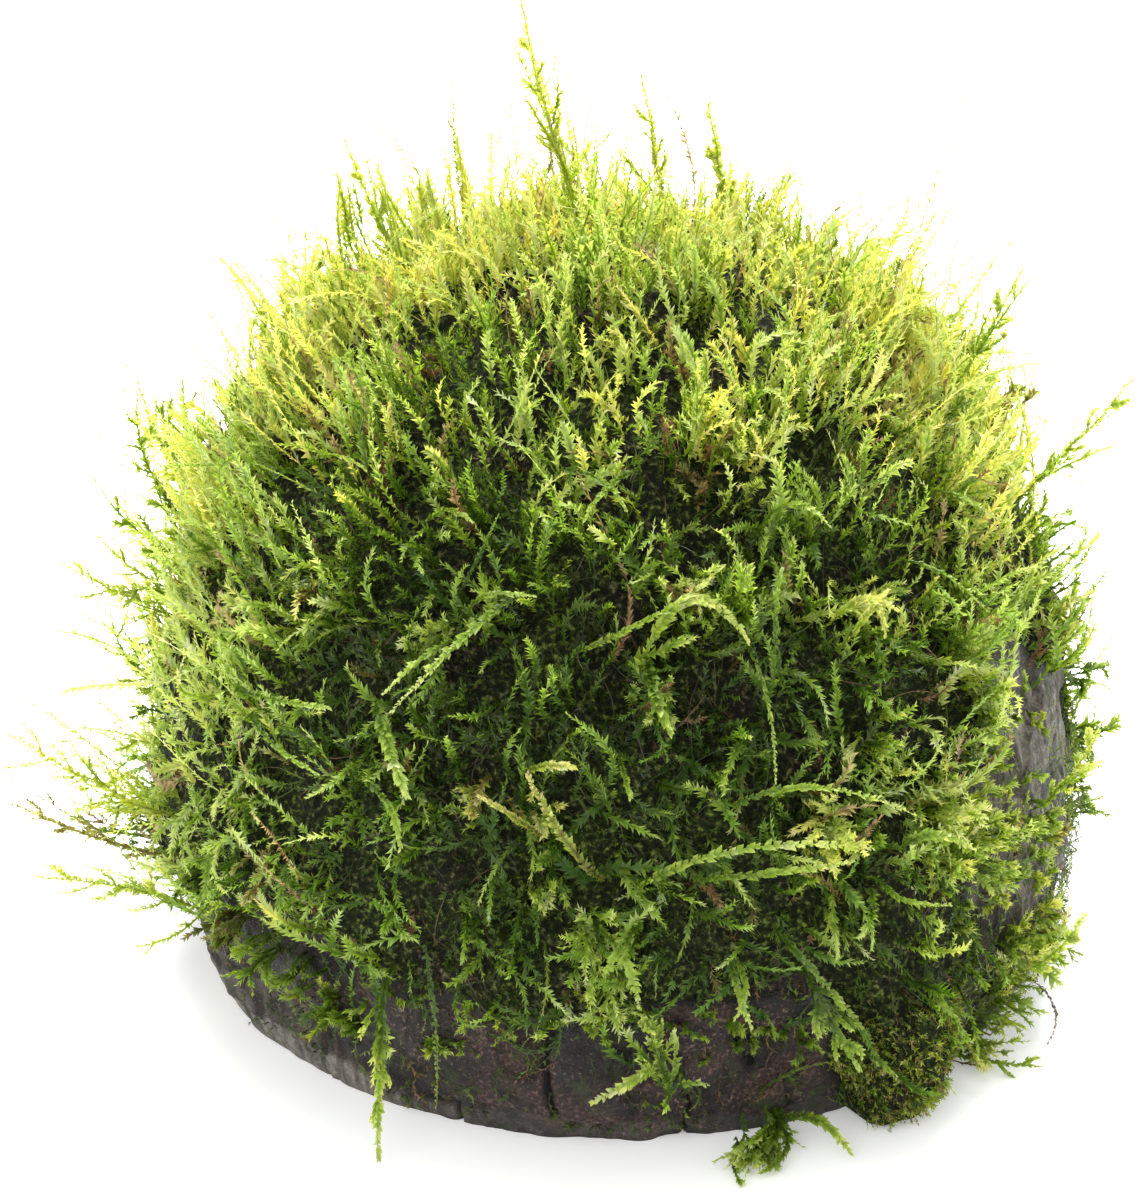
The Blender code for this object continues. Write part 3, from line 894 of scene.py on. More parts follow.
# %% [markdown]
# ## The moss cushion
#
# Fronds are grown to fit the solid cushion. A frond's tip is a random place on the solid's outer
# surface, and its root is on the shell, a little to the side that it leans away from. Neighbours
# share a lean, as real moss grows in small clumps with dark gaps between them.
#
# Which way a clump leans depends on where it is. On the crown and the sides moss reaches up to the
# light. At the lower front it hangs. Between them it lies this way and that.

# %% Clumps and their lean
CLUMPS = 620
UP = np.array([0.0, 0.0, 1.0])
ROOT_DEPTH = -0.3 * MM
LOWEST_ROOT = 1.5 * MM
clump_draw = np.random.default_rng(21)
CLUMP_PLACES = mat_places(CLUMPS, clump_draw)
CLUMP_LEANS = unit(clump_draw.normal(0.0, 1.0, (CLUMPS, 3)))
CLUMP_HEIGHTS = clump_draw.uniform(-1.0, 1.0, CLUMPS)
CLUMP_TINTS = clump_draw.uniform(0.0, 1.0, CLUMPS)


def turn_of(points):
    """How far round from the front places are: left is minus, right is plus."""
    return turn_from(egg_angles(points)[0], FRONT)


def bell(value, middle, half):
    """A soft bump: 1 at the middle, and less by exp(-(distance / half)^2)."""
    return np.exp(-(((value - middle) / half) ** 2))


def spot(turn, height, round_at, wide, high_at, tall):
    """A soft round spot at a turn and a height: bell times bell, with heights in millimetres."""
    return np.exp(-(((turn - round_at) / wide) ** 2) - ((height - high_at * MM) / (tall * MM)) ** 2)


def front_share(points):
    """How much a place faces the viewer, from 0 behind to 1 in front."""
    return 0.5 + 0.5 * np.cos(egg_angles(points)[0] - FRONT)


def side_share(points):
    """How much a place is on the left or right of the front or behind, above the band."""
    return smooth_step((1.0 - front_share(points)) / 0.5) * above(points[:, 2], 16, 10)


def crown_share(points):
    """How much a place is on the crown."""
    return above(points[:, 2], 58, 28)


def loose_share(points):
    """How much a place is on the left, or high on the right, where long loose shoots sweep out."""
    turn, height = turn_of(points), points[:, 2]
    left = bell(turn, -1.5, 0.7) * smooth_step((88 * MM - height) / (15 * MM))
    right = bell(turn, 1.3, 0.6) * above(height, 56, 8)
    return side_share(points) * np.maximum(left, 0.8 * right)


def flank_share(points):
    """How much a place is low on the left, or behind the bare patch on the right, where moss is thin."""
    turn, height = turn_of(points), points[:, 2]
    left = bell(turn, -1.5, 0.5) * (1.0 - above(height, 36, 18)) * above(height, 18, 9)
    right = bell(turn, 1.75, 0.38) * (1.0 - above(height, 54, 10))
    return np.maximum(left, right)


def peak_share(points):
    """How much a place is near the highest point."""
    away = np.linalg.norm(points - AXIS - np.array([0.0, 2.0, 92.0]) * MM, axis=1)
    return bell(away, 0.0, 10 * MM)


def shoulder_share(points):
    """How much a place is high on the left, where the moss stands up in loose tufts."""
    return spot(turn_of(points), points[:, 2], -1.75, 0.65, 75, 9)


def nearest_clump(points):
    """Number of the clump whose place is nearest to each point."""
    return np.argmin(((points[:, None] - CLUMP_PLACES[None]) ** 2).sum(-1), axis=1)


def rooted(points):
    """Roots of fronds: the points carried to the shell and just under its surface."""
    return on_shell(points, ROOT_DEPTH)


def lean_of(points, draw):
    """The way that fronds lean: their clump's way, their own, and up or down by their height."""
    nearest = nearest_clump(points)
    height = points[:, 2]
    front = front_share(points) ** 2
    hang = front * (1.0 - above(height, 24, 26))
    rise = 0.8 - 0.75 * front + 0.8 * above(height, 62, 26) - 0.95 * hang
    lean = CLUMP_LEANS[nearest] * 0.9 + draw.normal(0.0, 0.75, points.shape) + rise[:, None] * UP
    normal = outward(points)
    flat = lean - np.einsum('ij,ij->i', lean, normal)[:, None] * normal
    return unit(flat), normal, nearest


def cushion_paths(places, length, jitter, points, bend, draw):
    """Paths of fronds that end at places on the cushion, with their facing and their clumps.

    The root lies on the shell under the tip, moved back along the lean by sqrt(length^2 -
    depth^2), less near the top, where moss stands upright. The middle point stands above the root
    and to one side, so that a frond rises, arches over and bends.
    """
    count = len(places)
    lean, normal, nearest = lean_of(places, draw)
    clumps = CLUMP_PLACES[nearest]
    centre = clumps + outward(clumps) * (CLUMP_HEIGHTS[nearest, None] * 2.2 * MM)
    tips = places + (centre - places) * draw.uniform(0.0, 0.35, (count, 1))
    lower = 1.0 * MM * smooth_step((normal[:, 2:] - 0.75) / 0.2) + 2.4 * MM * flank_share(places)[:, None]
    tips = tips + normal * (draw.uniform(*jitter, (count, 1)) - lower)
    foot = on_shell(tips)
    depth = np.linalg.norm(tips - foot, axis=1)
    reach = draw.uniform(*length, count)
    back = np.sqrt(np.maximum(reach**2 - depth**2, (0.25 * reach) ** 2))
    back = back * (1.0 - 0.45 * smooth_step((normal[:, 2] - 0.45) / 0.5)) * (0.35 + 0.65 * front_share(tips))
    roots = rooted(foot - lean * back[:, None] * 0.9)
    roots[:, 2] = np.maximum(roots[:, 2], LOWEST_ROOT)
    bulge = draw.uniform(0.75, 1.2, (count, 1))
    middle = roots + (tips - roots) * 0.45 + normal * depth[:, None] * 0.42 * bulge
    sideways = np.cross(normal, lean) * draw.normal(0.0, bend, (count, 1)) * reach[:, None]
    paths = arc(roots, middle + sideways, tips, points)
    facing = unit(normal + draw.normal(0.0, 0.5, (count, 3)) + 0.2 * UP)
    return paths, facing, nearest


# %% [markdown]
# A frond's colour also depends on its place. Crown and sides are young and warm, and painted
# light makes them lighter still; the middle of the front is old and dark, and painted shade makes
# it darker. The lump that hangs over the rim at the right is dark olive all over. A table of soft
# spots says where else moss is warmer, and where it gets painted light or painted shade.

# %% Colour of each frond
LUMP_TURN = math.radians(12)
TONES = (
    # turn, half width, height and half height in millimetres, how much warmer, how much lighter as painted
    # light (painted shade where minus)
    (0.71, 0.28, 44, 17, 0.1, 0.46),
    (-0.75, 0.3, 30, 16, 0, 0.26),
    (-0.1, 0.5, 57, 16, 0, -0.17),
    (0, 0.9, 88, 9, 0, 0.24),
    (-1.3, 0.5, 48, 18, 0.12, 0.26),
    (-0.75, 0.45, 70, 14, 0, -0.17),
    (-1.75, 0.5, 77, 13, -0.06, -0.12),
)


def lump_share(points):
    """How much a place belongs to the lump: a bell round its bearing, fading out at its top."""
    bearing, height = egg_angles(points)[0], points[..., 2]
    round_it = bell(turn_from(bearing, LUMP_BEARING), 0.0, LUMP_TURN)
    return round_it * (1.0 - above(height, 12, 6)) * lump_foot(bearing, height)


def frond_facts(tips, nearest, root_young, tip_young, rust, draw):
    """Youth at root and tip, tint and withering of each frond.

    Both tint and youth are sums: a usual value, more with height and away from the front, the
    clump's own share, and the spots of the table. What youth gains with height, away from the front,
    on the left and from the table is mostly painted light and shade.
    """
    count = len(tips)
    turn, height = turn_of(tips), tips[:, 2]
    high = above(height, 46, 42)
    front = smooth_step((np.cos(turn) - 0.25) / 0.6)
    left = bell(turn, -1.45, 0.45) * above(height, 18, 10)
    clump = CLUMP_TINTS[nearest] - 0.5
    tint = 0.34 + 0.24 * high + 0.14 * (1 - front) + 0.26 * clump
    # The lightness here is partly tone: the clump's share differs at random and the lump is dark olive. The
    # rest is painted light on the crown, the sides and the left, and painted shade low at the front.
    tone_and_painted_light = 0.17 * high + 0.25 * (1 - front) - 0.03 * front * (1 - high) + 0.20 * clump
    tone_and_painted_light = tone_and_painted_light + 0.14 * left - 0.12 * lump_share(tips)
    # Each spot of the table adds painted light where its last column is plus, and painted shade where it is
    # minus.
    for *place, warmer, painted_brightness in TONES:
        near = spot(turn, height, *place)
        tint = tint + warmer * near
        tone_and_painted_light = tone_and_painted_light + painted_brightness * near
    tint = tint + draw.normal(0.0, 0.12, count)
    # Painted light and shade: on the crown and at the sides roots are made lighter, and tips a little darker.
    root = draw.uniform(*root_young, count) + tone_and_painted_light + 0.42 * high + 0.14 * (1 - front)
    tip = draw.uniform(*tip_young, count) + tone_and_painted_light - 0.10 * high - 0.06 * (1 - front)
    withered = np.where(draw.random(count) < rust, draw.uniform(0.45, 1.0, count), 0.05)
    return np.stack([root, tip, tint, withered], axis=-1)


# %% [markdown]
# ## Felt under the fronds
#
# Under living moss lies a felt of dead stems and soil, and it is what shows in the gaps. Its
# near-black colour is partly that felt and partly painted shade for the gaps. It is one
# closed-over grid on the shell: the depth map says how thick it is, noise makes it lumpy, and where
# there is no moss it dips into the wood and is not seen. Its last row turns in under the cushion.

# %% Felt
FELT_COLUMNS = 280
FELT_ROWS = 114


def felt_height(bearing, polar):
    """How high the felt stands over the shell: a share of the cushion's depth, with lumps."""
    smooth = egg(bearing, polar)
    depth = depth_at(bearing, polar)
    rough = 0.8 * MM * soft_noise(smooth, 3.0 * MM, 2.0) + 0.6 * MM * soft_noise(smooth, 1.6 * MM, 6.0)
    cover = smooth_step(depth / (2.5 * MM))
    return -1.2 * MM + ((0.34 + 0.46 * lump_share(smooth)) * depth + 1.4 * MM + rough) * cover


def felt_arrays():
    """Points and triangles of the felt."""
    bearing = np.linspace(-math.pi, math.pi, FELT_COLUMNS, endpoint=False)
    low_polar = math.acos(-(WIDEST_HEIGHT - 0.6 * MM) / BASE_DROP)
    polar = np.linspace(0.04, low_polar, FELT_ROWS)
    wide, tall = np.meshgrid(bearing, polar)
    grow = felt_height(wide, tall)
    surface = egg(wide, tall, grow)
    under = egg(wide[-1:], tall[-1:], np.full((1, FELT_COLUMNS), -1.8 * MM))
    under[..., 2] = surface[-1:, :, 2]
    top = egg(np.zeros(1), np.zeros(1), grow[0].mean())
    points = np.concatenate([surface.reshape(-1, 3), under.reshape(-1, 3), top])
    rings = ring_faces(FELT_ROWS + 1, FELT_COLUMNS, 0)[:, ::-1]
    return points, np.concatenate([rings, cap_faces(0, FELT_COLUMNS, len(points) - 1)])


def felt_material():
    """Dark brown and olive crumbs with a deep bump; their near-black is partly painted shade for the gaps
    between fronds.
    """
    material, tree, shader, place = new_material("moss felt")
    crumbs = add_mottle(tree, place, 1300.0, 6.0, 0.36, 0.70)
    broad = add_mottle(tree, place, 120.0, 5.0, 0.30, 0.60)
    # Painted shade in part: the felt's darkest crumbs are near black, so the gaps between fronds look shaded.
    dark_felt_and_shade = add_ramp(tree, crumbs, (0.0, (0.003, 0.003, 0.002)), (0.55, (0.022, 0.018, 0.010)),
                    (1.0, (0.125, 0.098, 0.062)))
    olive = add_ramp(tree, crumbs, (0.0, (0.003, 0.005, 0.001)), (0.55, (0.020, 0.034, 0.005)),
                     (1.0, (0.110, 0.150, 0.026)))
    tree.links.new(mix_colours(tree, broad, dark_felt_and_shade, olive), shader.inputs["Base Color"])
    shader.inputs["Roughness"].default_value = 0.8
    shader.inputs["Specular IOR Level"].default_value = 0.12
    tree.links.new(add_bump(tree, crumbs, 1.0, 0.5 * MM), shader.inputs["Normal"])
    return material


felt_points, felt_triangles = felt_arrays()
new_piece("felt", felt_points, felt_triangles, felt_material(), ("moss_mat",), smooth=True)

# %% [markdown]
# ## Four layers of moss
#
# Four layers fill the cushion. Dark old fronds and bare brown threads close it near the shell.
# Middle fronds stand between. Long bright fronds lie over them, few enough that dark gaps stay
# open. Last come thin upright shoots, which make the outline spiky, as moss that reaches for light
# is. All are shared out over seven pieces by where their tips are, because one piece should stay
# under two hundred thousand triangles.

# %% Share fronds out over the pieces
REGIONS = ("moss_crown_front", "moss_crown_back", "moss_front_left", "moss_front_middle", "moss_front_right",
           "moss_right_back", "moss_left_back")
grown = [[] for _ in REGIONS]


def region_of(tips):
    """Number of the piece that a frond belongs to: half the crown, or one of five sectors round it."""
    bearing, polar = egg_angles(tips)
    turn = np.degrees(turn_from(bearing, FRONT))
    sector = np.select([turn < -120, turn < -28, turn < 28, turn < 120], [6, 2, 3, 4], 5)
    return np.where(polar < math.radians(38), np.abs(turn) > 90, sector)


def share_out(paths, facing, facts, sizes, draw, leaves, **form):
    """Grows fronds on paths and adds each to its region's list. Bare threads have no leaves."""
    region = region_of(paths[:, -1])
    for number, pieces in enumerate(grown):
        chosen = region == number
        if not chosen.any():
            continue
        way, look, size = facing[chosen], facts[chosen], sizes[chosen]
        if leaves:
            parts = fronds(paths[chosen], way, look, draw, leaves, size=size, **form)
        else:
            parts = stems(paths[chosen], way, THREAD_RADIUS * size, look)
        pieces.append(parts)


# %% Grow the cushion
grow_draw = np.random.default_rng(33)
LAYERS = (
    # count, gaps, length, depth, points, bend, leaves, branches, their leaves, size, root and tip youth, rust
    (2400, 0.2, (5, 9), (-5, -1.2), 5, 0.18, 15, 1, 7, (0.6, 0.9), (-0.25, 0), (0, 0.42), 0.1),
    (3300, 0.8, (6, 12), (-3, 0.8), 6, 0.22, 22, 2, 8, (0.55, 0.95), (-0.15, 0.2), (0.25, 0.8), 0.06),
    (3950, 1, (7, 15), (-0.8, 2.8), 8, 0.3, 42, 0, 0, (0.65, 1.1), (0, 0.4), (0.6, 1.15), 0.04),
)
BARE_THREADS = 3000
HOLLOWS = (
    # place from the shell's axis, radius
    (-21, -11, 82.3, 6.5), (-17.6, -21.8, 80, 4.5), (-23.2, -22.8, 76.7, 3.5), (-12, -14, 84.5, 4),
    (28.6, -26.3, 70.8, 4), (20.4, -26.4, 74.7, 3.5), (5.5, -35, 72.8, 4.5), (0.7, -34.3, 73.9, 3),
    (-13, -33.5, 72.2, 4.5), (-18.8, -38, 65.3, 4), (-33, -27, 65.8, 4), (-24.3, -38.1, 61.4, 3),
    (8.5, -38.4, 68.8, 4), (13.4, -38.6, 67.1, 3), (23.8, -35.3, 65, 3.5), (29.6, -31.8, 63.8, 3),
    (-5.6, -41.1, 66.3, 3), (-9, -44.3, 61.3, 3.5), (-4.7, -46.5, 59, 4), (-2.1, -48.9, 54.9, 3.5),
    (-15.5, -46.2, 55.3, 4.5), (7.4, -47.6, 56.4, 3), (10.2, -49.1, 52.5, 3.5), (-15.7, -50.5, 46.1, 3.5),
    (-20.7, -49.2, 44.6, 3), (-4.7, -53.5, 43.7, 3.5), (-1.7, -54.9, 39.7, 4), (7.4, -53.9, 41.4, 3.5),
    (-18.2, -52.7, 36.4, 4), (-20.5, -53, 31.4, 4), (-13.9, -55.2, 30.5, 3.5), (-29.7, -48.2, 32.6, 3.5),
    (8.6, -56.7, 27.9, 4), (5, -57.5, 24.5, 3), (15.7, -54.7, 30.7, 3), (-7.5, -56.6, 29.6, 3),
    (-16.9, -55.4, 20.7, 5), (-21.6, -53.6, 22.3, 4), (-11.8, -56.7, 21.2, 3.5), (-38.3, -40.2, 41.3, 4.5),
    (32.7, -39.6, 52.2, 4.5), (20.6, -43.5, 56.4, 3), (18.1, -49.4, 46.7, 3), (30.1, -48.5, 29.7, 4.5),
    (30.5, -50, 25, 5), (37.5, -44.5, 20, 6), (30, -50, 17, 4.5), (40.5, -40.5, 26, 4),
)
hollow_rows = np.array(HOLLOWS) * MM
HOLLOW_PLACES, HOLLOW_SIZES = AXIS + hollow_rows[:, :3], hollow_rows[:, 3]
SIGHT = np.array([0.0, -0.91, 0.415])


def thin_share(places):
    """How thin the moss is at each place: measured hollows, and places where slow noise is low."""
    near = ((places[:, None] - HOLLOW_PLACES[None]) ** 2).sum(-1) / (HOLLOW_SIZES[None] ** 2)
    hollow = np.exp(-near).max(axis=1)
    slow = smooth_step((-0.12 - soft_noise(places, 7.5 * MM, 41.0)) / 0.30)
    slow = slow * (0.8 - 0.5 * front_share(places))
    return np.maximum(hollow, slow * (1.0 - 0.7 * above(places[:, 2], 58, 15)))


def kept_places(places, gaps, draw):
    """Places without most of those on the lump and, by the share gaps, without those in dark gaps."""
    chance = (1.0 - 0.95 * lump_share(places)) * (1.0 - gaps * thin_share(places))
    chance = chance * (1.0 - 0.5 * flank_share(places))
    hangs = lump_foot(egg_angles(places)[0], places[:, 2]) > 0.5
    return places[(draw.random(len(places)) < chance) & hangs]


def open_share(paths):
    """How much a frond leaves the hollows open: 0.15 for one that leans out in front of a hollow, else 1.

    A hollow's opening is a tube from it toward the front and up, 0.6 of the hollow's radius wide.
    """
    away = paths[:, 2:, None] - HOLLOW_PLACES
    ahead = away @ SIGHT
    beside = np.sqrt(np.maximum((away**2).sum(axis=-1) - ahead**2, 0.0))
    crosses = ((beside < 0.6 * HOLLOW_SIZES) & (ahead > -1.0 * MM)).any(axis=(1, 2))
    return np.where(crosses, 0.15, 1.0)


def off_the_patch(paths):
    """True for paths that lie over moss, or that are far from the bare patch on the right."""
    bearing, polar = egg_angles(paths)
    away = np.abs(turn_from(bearing[:, -1], PATCH_BEARING))
    bare = (depth_at(bearing, polar) < 0.8 * MM).mean(axis=1)
    return (bare < 0.2) | (away > math.radians(40))


for (count, gaps, length, depth, path_points, bend, leaves, branches, branch_leaves, size, root_young,
     tip_young, rust) in LAYERS:
    places = kept_places(mat_places(count, grow_draw), gaps, grow_draw)
    paths, facing, nearest = cushion_paths(places, np.array(length) * MM, np.array(depth) * MM, path_points,
                                           bend, grow_draw)
    keep = off_the_patch(paths) & (grow_draw.random(len(paths)) < 1.0 - gaps * (1.0 - open_share(paths)))
    paths, facing, nearest = paths[keep], facing[keep], nearest[keep]
    facts = frond_facts(paths[:, -1], nearest, root_young, tip_young, rust, grow_draw)
    sizes = grow_draw.uniform(*size, len(paths))
    share_out(paths, facing, facts, sizes, grow_draw, leaves, branches=branches, branch_leaves=branch_leaves,
              plain=True)

places = kept_places(mat_places(BARE_THREADS, grow_draw), 0.0, grow_draw)
paths, facing, nearest = cushion_paths(places, (6 * MM, 14 * MM), (-4.5 * MM, 0.5 * MM), 7, 0.3, grow_draw)
keep = off_the_patch(paths)
facts = frond_facts(paths[keep, -1], nearest[keep], (-0.3, 0.1), (0.0, 0.5), 0.6, grow_draw)
share_out(paths[keep], facing[keep], facts, np.ones(len(facts)), grow_draw, 0)


# %% [markdown]
# The upright shoots start anywhere but at the low front. Each follows one way, mostly up and a
# little out, from the shell to a few millimetres past the cushion. Most are short. Some, on the
# crown and at the sides, are long, thin and bent.

# %% Upright shoots
SPIRE_POINTS = 9


def spire_paths(places, past, inside, bend, outward_share, draw):
    """Paths through places along up + outward + chance: a stretch inside, and a stretch past.

    Each bends, and its tip curls by the cube of the way along it.
    """
    count = len(places)
    normal = outward(places)
    nearest = nearest_clump(places)
    way = UP + outward_share * normal + 0.6 * CLUMP_LEANS[nearest]
    way = unit(way + draw.normal(0.0, 0.34, (count, 3)))
    tips = places + way * draw.uniform(*past, (count, 1))
    roots = rooted(places - way * draw.uniform(*inside, (count, 1)))
    roots[:, 2] = np.maximum(roots[:, 2], LOWEST_ROOT)
    middle = (roots + tips) / 2 + normal * 1.2 * MM + draw.normal(0.0, bend, (count, 3))
    facing = unit(normal + draw.normal(0.0, 0.7, (count, 3)))
    cubes = np.linspace(0.0, 1.0, SPIRE_POINTS)[None, :, None] ** 3
    curl = cubes * draw.normal(0.0, 0.8 * bend, (count, 1, 3))
    return arc(roots, middle, tips, SPIRE_POINTS) + curl, facing, nearest


SPIRES = (
    # weight, places, past, inside, bend, outward, size, leaves, root youth, tip youth
    (crown_share, 680, (0.5, 5), (8, 14), 1.9, 0.8, (0.65, 1), 34, (0.1, 0.4), (0.65, 1.1)),
    (crown_share, 360, (4, 10), (9, 16), 2.8, 0.7, (0.55, 0.85), 42, (0.15, 0.45), (0.65, 1.05)),
    (side_share, 820, (1, 8), (10, 18), 2.8, 1.2, (0.65, 1), 38, (0.1, 0.45), (0.55, 1.05)),
    (loose_share, 2600, (4, 13), (10, 18), 3.4, 1.2, (0.55, 0.85), 42, (0.1, 0.45), (0.55, 1)),
    (peak_share, 6800, (4.5, 13), (9, 15), 2.4, 0.5, (0.6, 0.9), 42, (0.1, 0.4), (0.6, 1)),
    (shoulder_share, 1500, (2.5, 9), (9, 15), 2.4, 0.9, (0.65, 0.95), 38, (0.1, 0.4), (0.55, 1)),
)
for weight, number, past, inside, bend, outward_share, size, leaves, root_young, tip_young in SPIRES:
    places = mat_places(number, grow_draw)
    places = places[grow_draw.random(number) < weight(places) * (1.0 - 0.85 * flank_share(places))]
    paths, facing, nearest = spire_paths(places, np.array(past) * MM, np.array(inside) * MM, bend * MM,
                                         outward_share, grow_draw)
    bundled = 0.45 + 1.1 * smooth_step((CLUMP_HEIGHTS[nearest] + 0.2) / 0.4)
    keep = off_the_patch(paths) & (grow_draw.random(len(paths)) < bundled * open_share(paths))
    paths, facing = paths[keep], facing[keep]
    facts = frond_facts(paths[:, -1], nearest[keep], root_young, tip_young, 0.05, grow_draw)
    sizes = grow_draw.uniform(*size, len(paths))
    share_out(paths, facing, facts, sizes, grow_draw, leaves, plain=True, bare=0.1)
    print("upright shoots:", len(paths))


# %% [markdown]
# Fuzz is the smallest moss: tiny fronds, one to three millimetres long, that stand out from the felt
# in all directions. It covers the lump at the rim, fills the dark hollows with brown and olive, and
# is scattered over the bare band.

# %% Fuzz on the lump, in the hollows and on the band
FUZZ_PLACES = 90000
LUMP_FUZZ = 2400
HOLLOW_FUZZ = 2600
BAND_FUZZ = 900
BAND_BEARING = math.radians(-95)


def grow_fuzz(places, heights, reach, youth, withered_share, draw):
    """Tiny fronds at places, from their height over the shell outward, in changing colours.

    The reach of a frond past its foot is in millimetres.
    """
    count = len(places)
    feet = on_shell(places, heights - 0.4 * MM)
    normal = outward(feet)
    way = unit(normal + draw.normal(0.0, 0.75, feet.shape))
    tips = feet + way * draw.uniform(reach[0] * MM, reach[1] * MM, (count, 1))
    paths = arc(feet, (feet + tips) / 2 + draw.normal(0.0, 0.25 * MM, feet.shape), tips, 3)
    patches = soft_noise(places, 5.0 * MM, 31.0)
    withered = np.where(draw.random(count) < withered_share, draw.uniform(0.45, 0.7, count), 0.1)
    facts = np.stack([draw.uniform(0.0, 0.3, count) + youth - 0.3 + 0.12 * patches,
                      draw.uniform(0.0, 0.45, count) + youth + 0.2 * patches,
                      draw.uniform(0.45, 0.95, count), withered], axis=-1)
    share_out(paths, normal, facts, draw.uniform(0.32, 0.55, count), draw, 5, plain=True)
    print("tiny fronds:", count)


places = mat_places(FUZZ_PLACES, grow_draw)
lump_places = places[lump_share(places) > 0.3][:LUMP_FUZZ]
grow_fuzz(lump_places, felt_height(*egg_angles(lump_places)), (0.9, 1.9), 0.52, 0.35, grow_draw)
hollow_places = places[FUZZ_PLACES // 3:FUZZ_PLACES * 2 // 3]
thin = thin_share(hollow_places) * (front_share(hollow_places) > 0.5) * (lump_share(hollow_places) < 0.3)
hollow_places = hollow_places[grow_draw.random(len(hollow_places)) < thin][:HOLLOW_FUZZ]
grow_fuzz(hollow_places, felt_height(*egg_angles(hollow_places)), (1.0, 3.0), 0.22, 0.08, grow_draw)
turns = BAND_BEARING + grow_draw.uniform(-0.95, 0.95, BAND_FUZZ)
places = round_axis(turns, grow_draw.uniform(1.0, 5.2, BAND_FUZZ) ** 2 * MM)
places = places[(soft_noise(places, 4.0 * MM, 17.0) > 0.0) & (depth_at(*egg_angles(places)) < 1.5 * MM)]
grow_fuzz(places, np.full(len(places), 0.3 * MM), (0.6, 1.8), 0.15, 0.4, grow_draw)


# %% [markdown]
# Some fronds at the front are easy to pick out: bright ones that arch over the cushion, a yellow
# clump at the right, and tan ones low in the middle. Each is a path through three points, measured
# from the shell's axis in millimetres, with its size, youth, tint and how far it has withered.

# %% Fronds that stand out at the front
ARC_POINTS = 11
TO_VIEWER = np.array([0.25, -1.0, 0.35])


def column(table, number, times_each=1):
    """One column of a table as an array, with each row given times_each times."""
    return np.repeat(np.array([row[number] for row in table], dtype=float), times_each, axis=0)


def looks_of(table, first, times_each=1):
    """The columns of a table from number first on, with each row given times_each times."""
    return np.repeat(np.array([row[first:] for row in table]), times_each, axis=0)


def measured_arcs(table):
    """Starts, middles and arcs through the three places of each row, and the rest of each row.

    A parabola runs through its middle place where its bow is 2 middle - (start + end) / 2.
    """
    starts, middles, ends = (AXIS + column(table, number) * MM for number in range(3))
    arcs = arc(starts, 2 * middles - (starts + ends) / 2, ends, ARC_POINTS)
    return starts, middles, arcs, looks_of(table, 3)


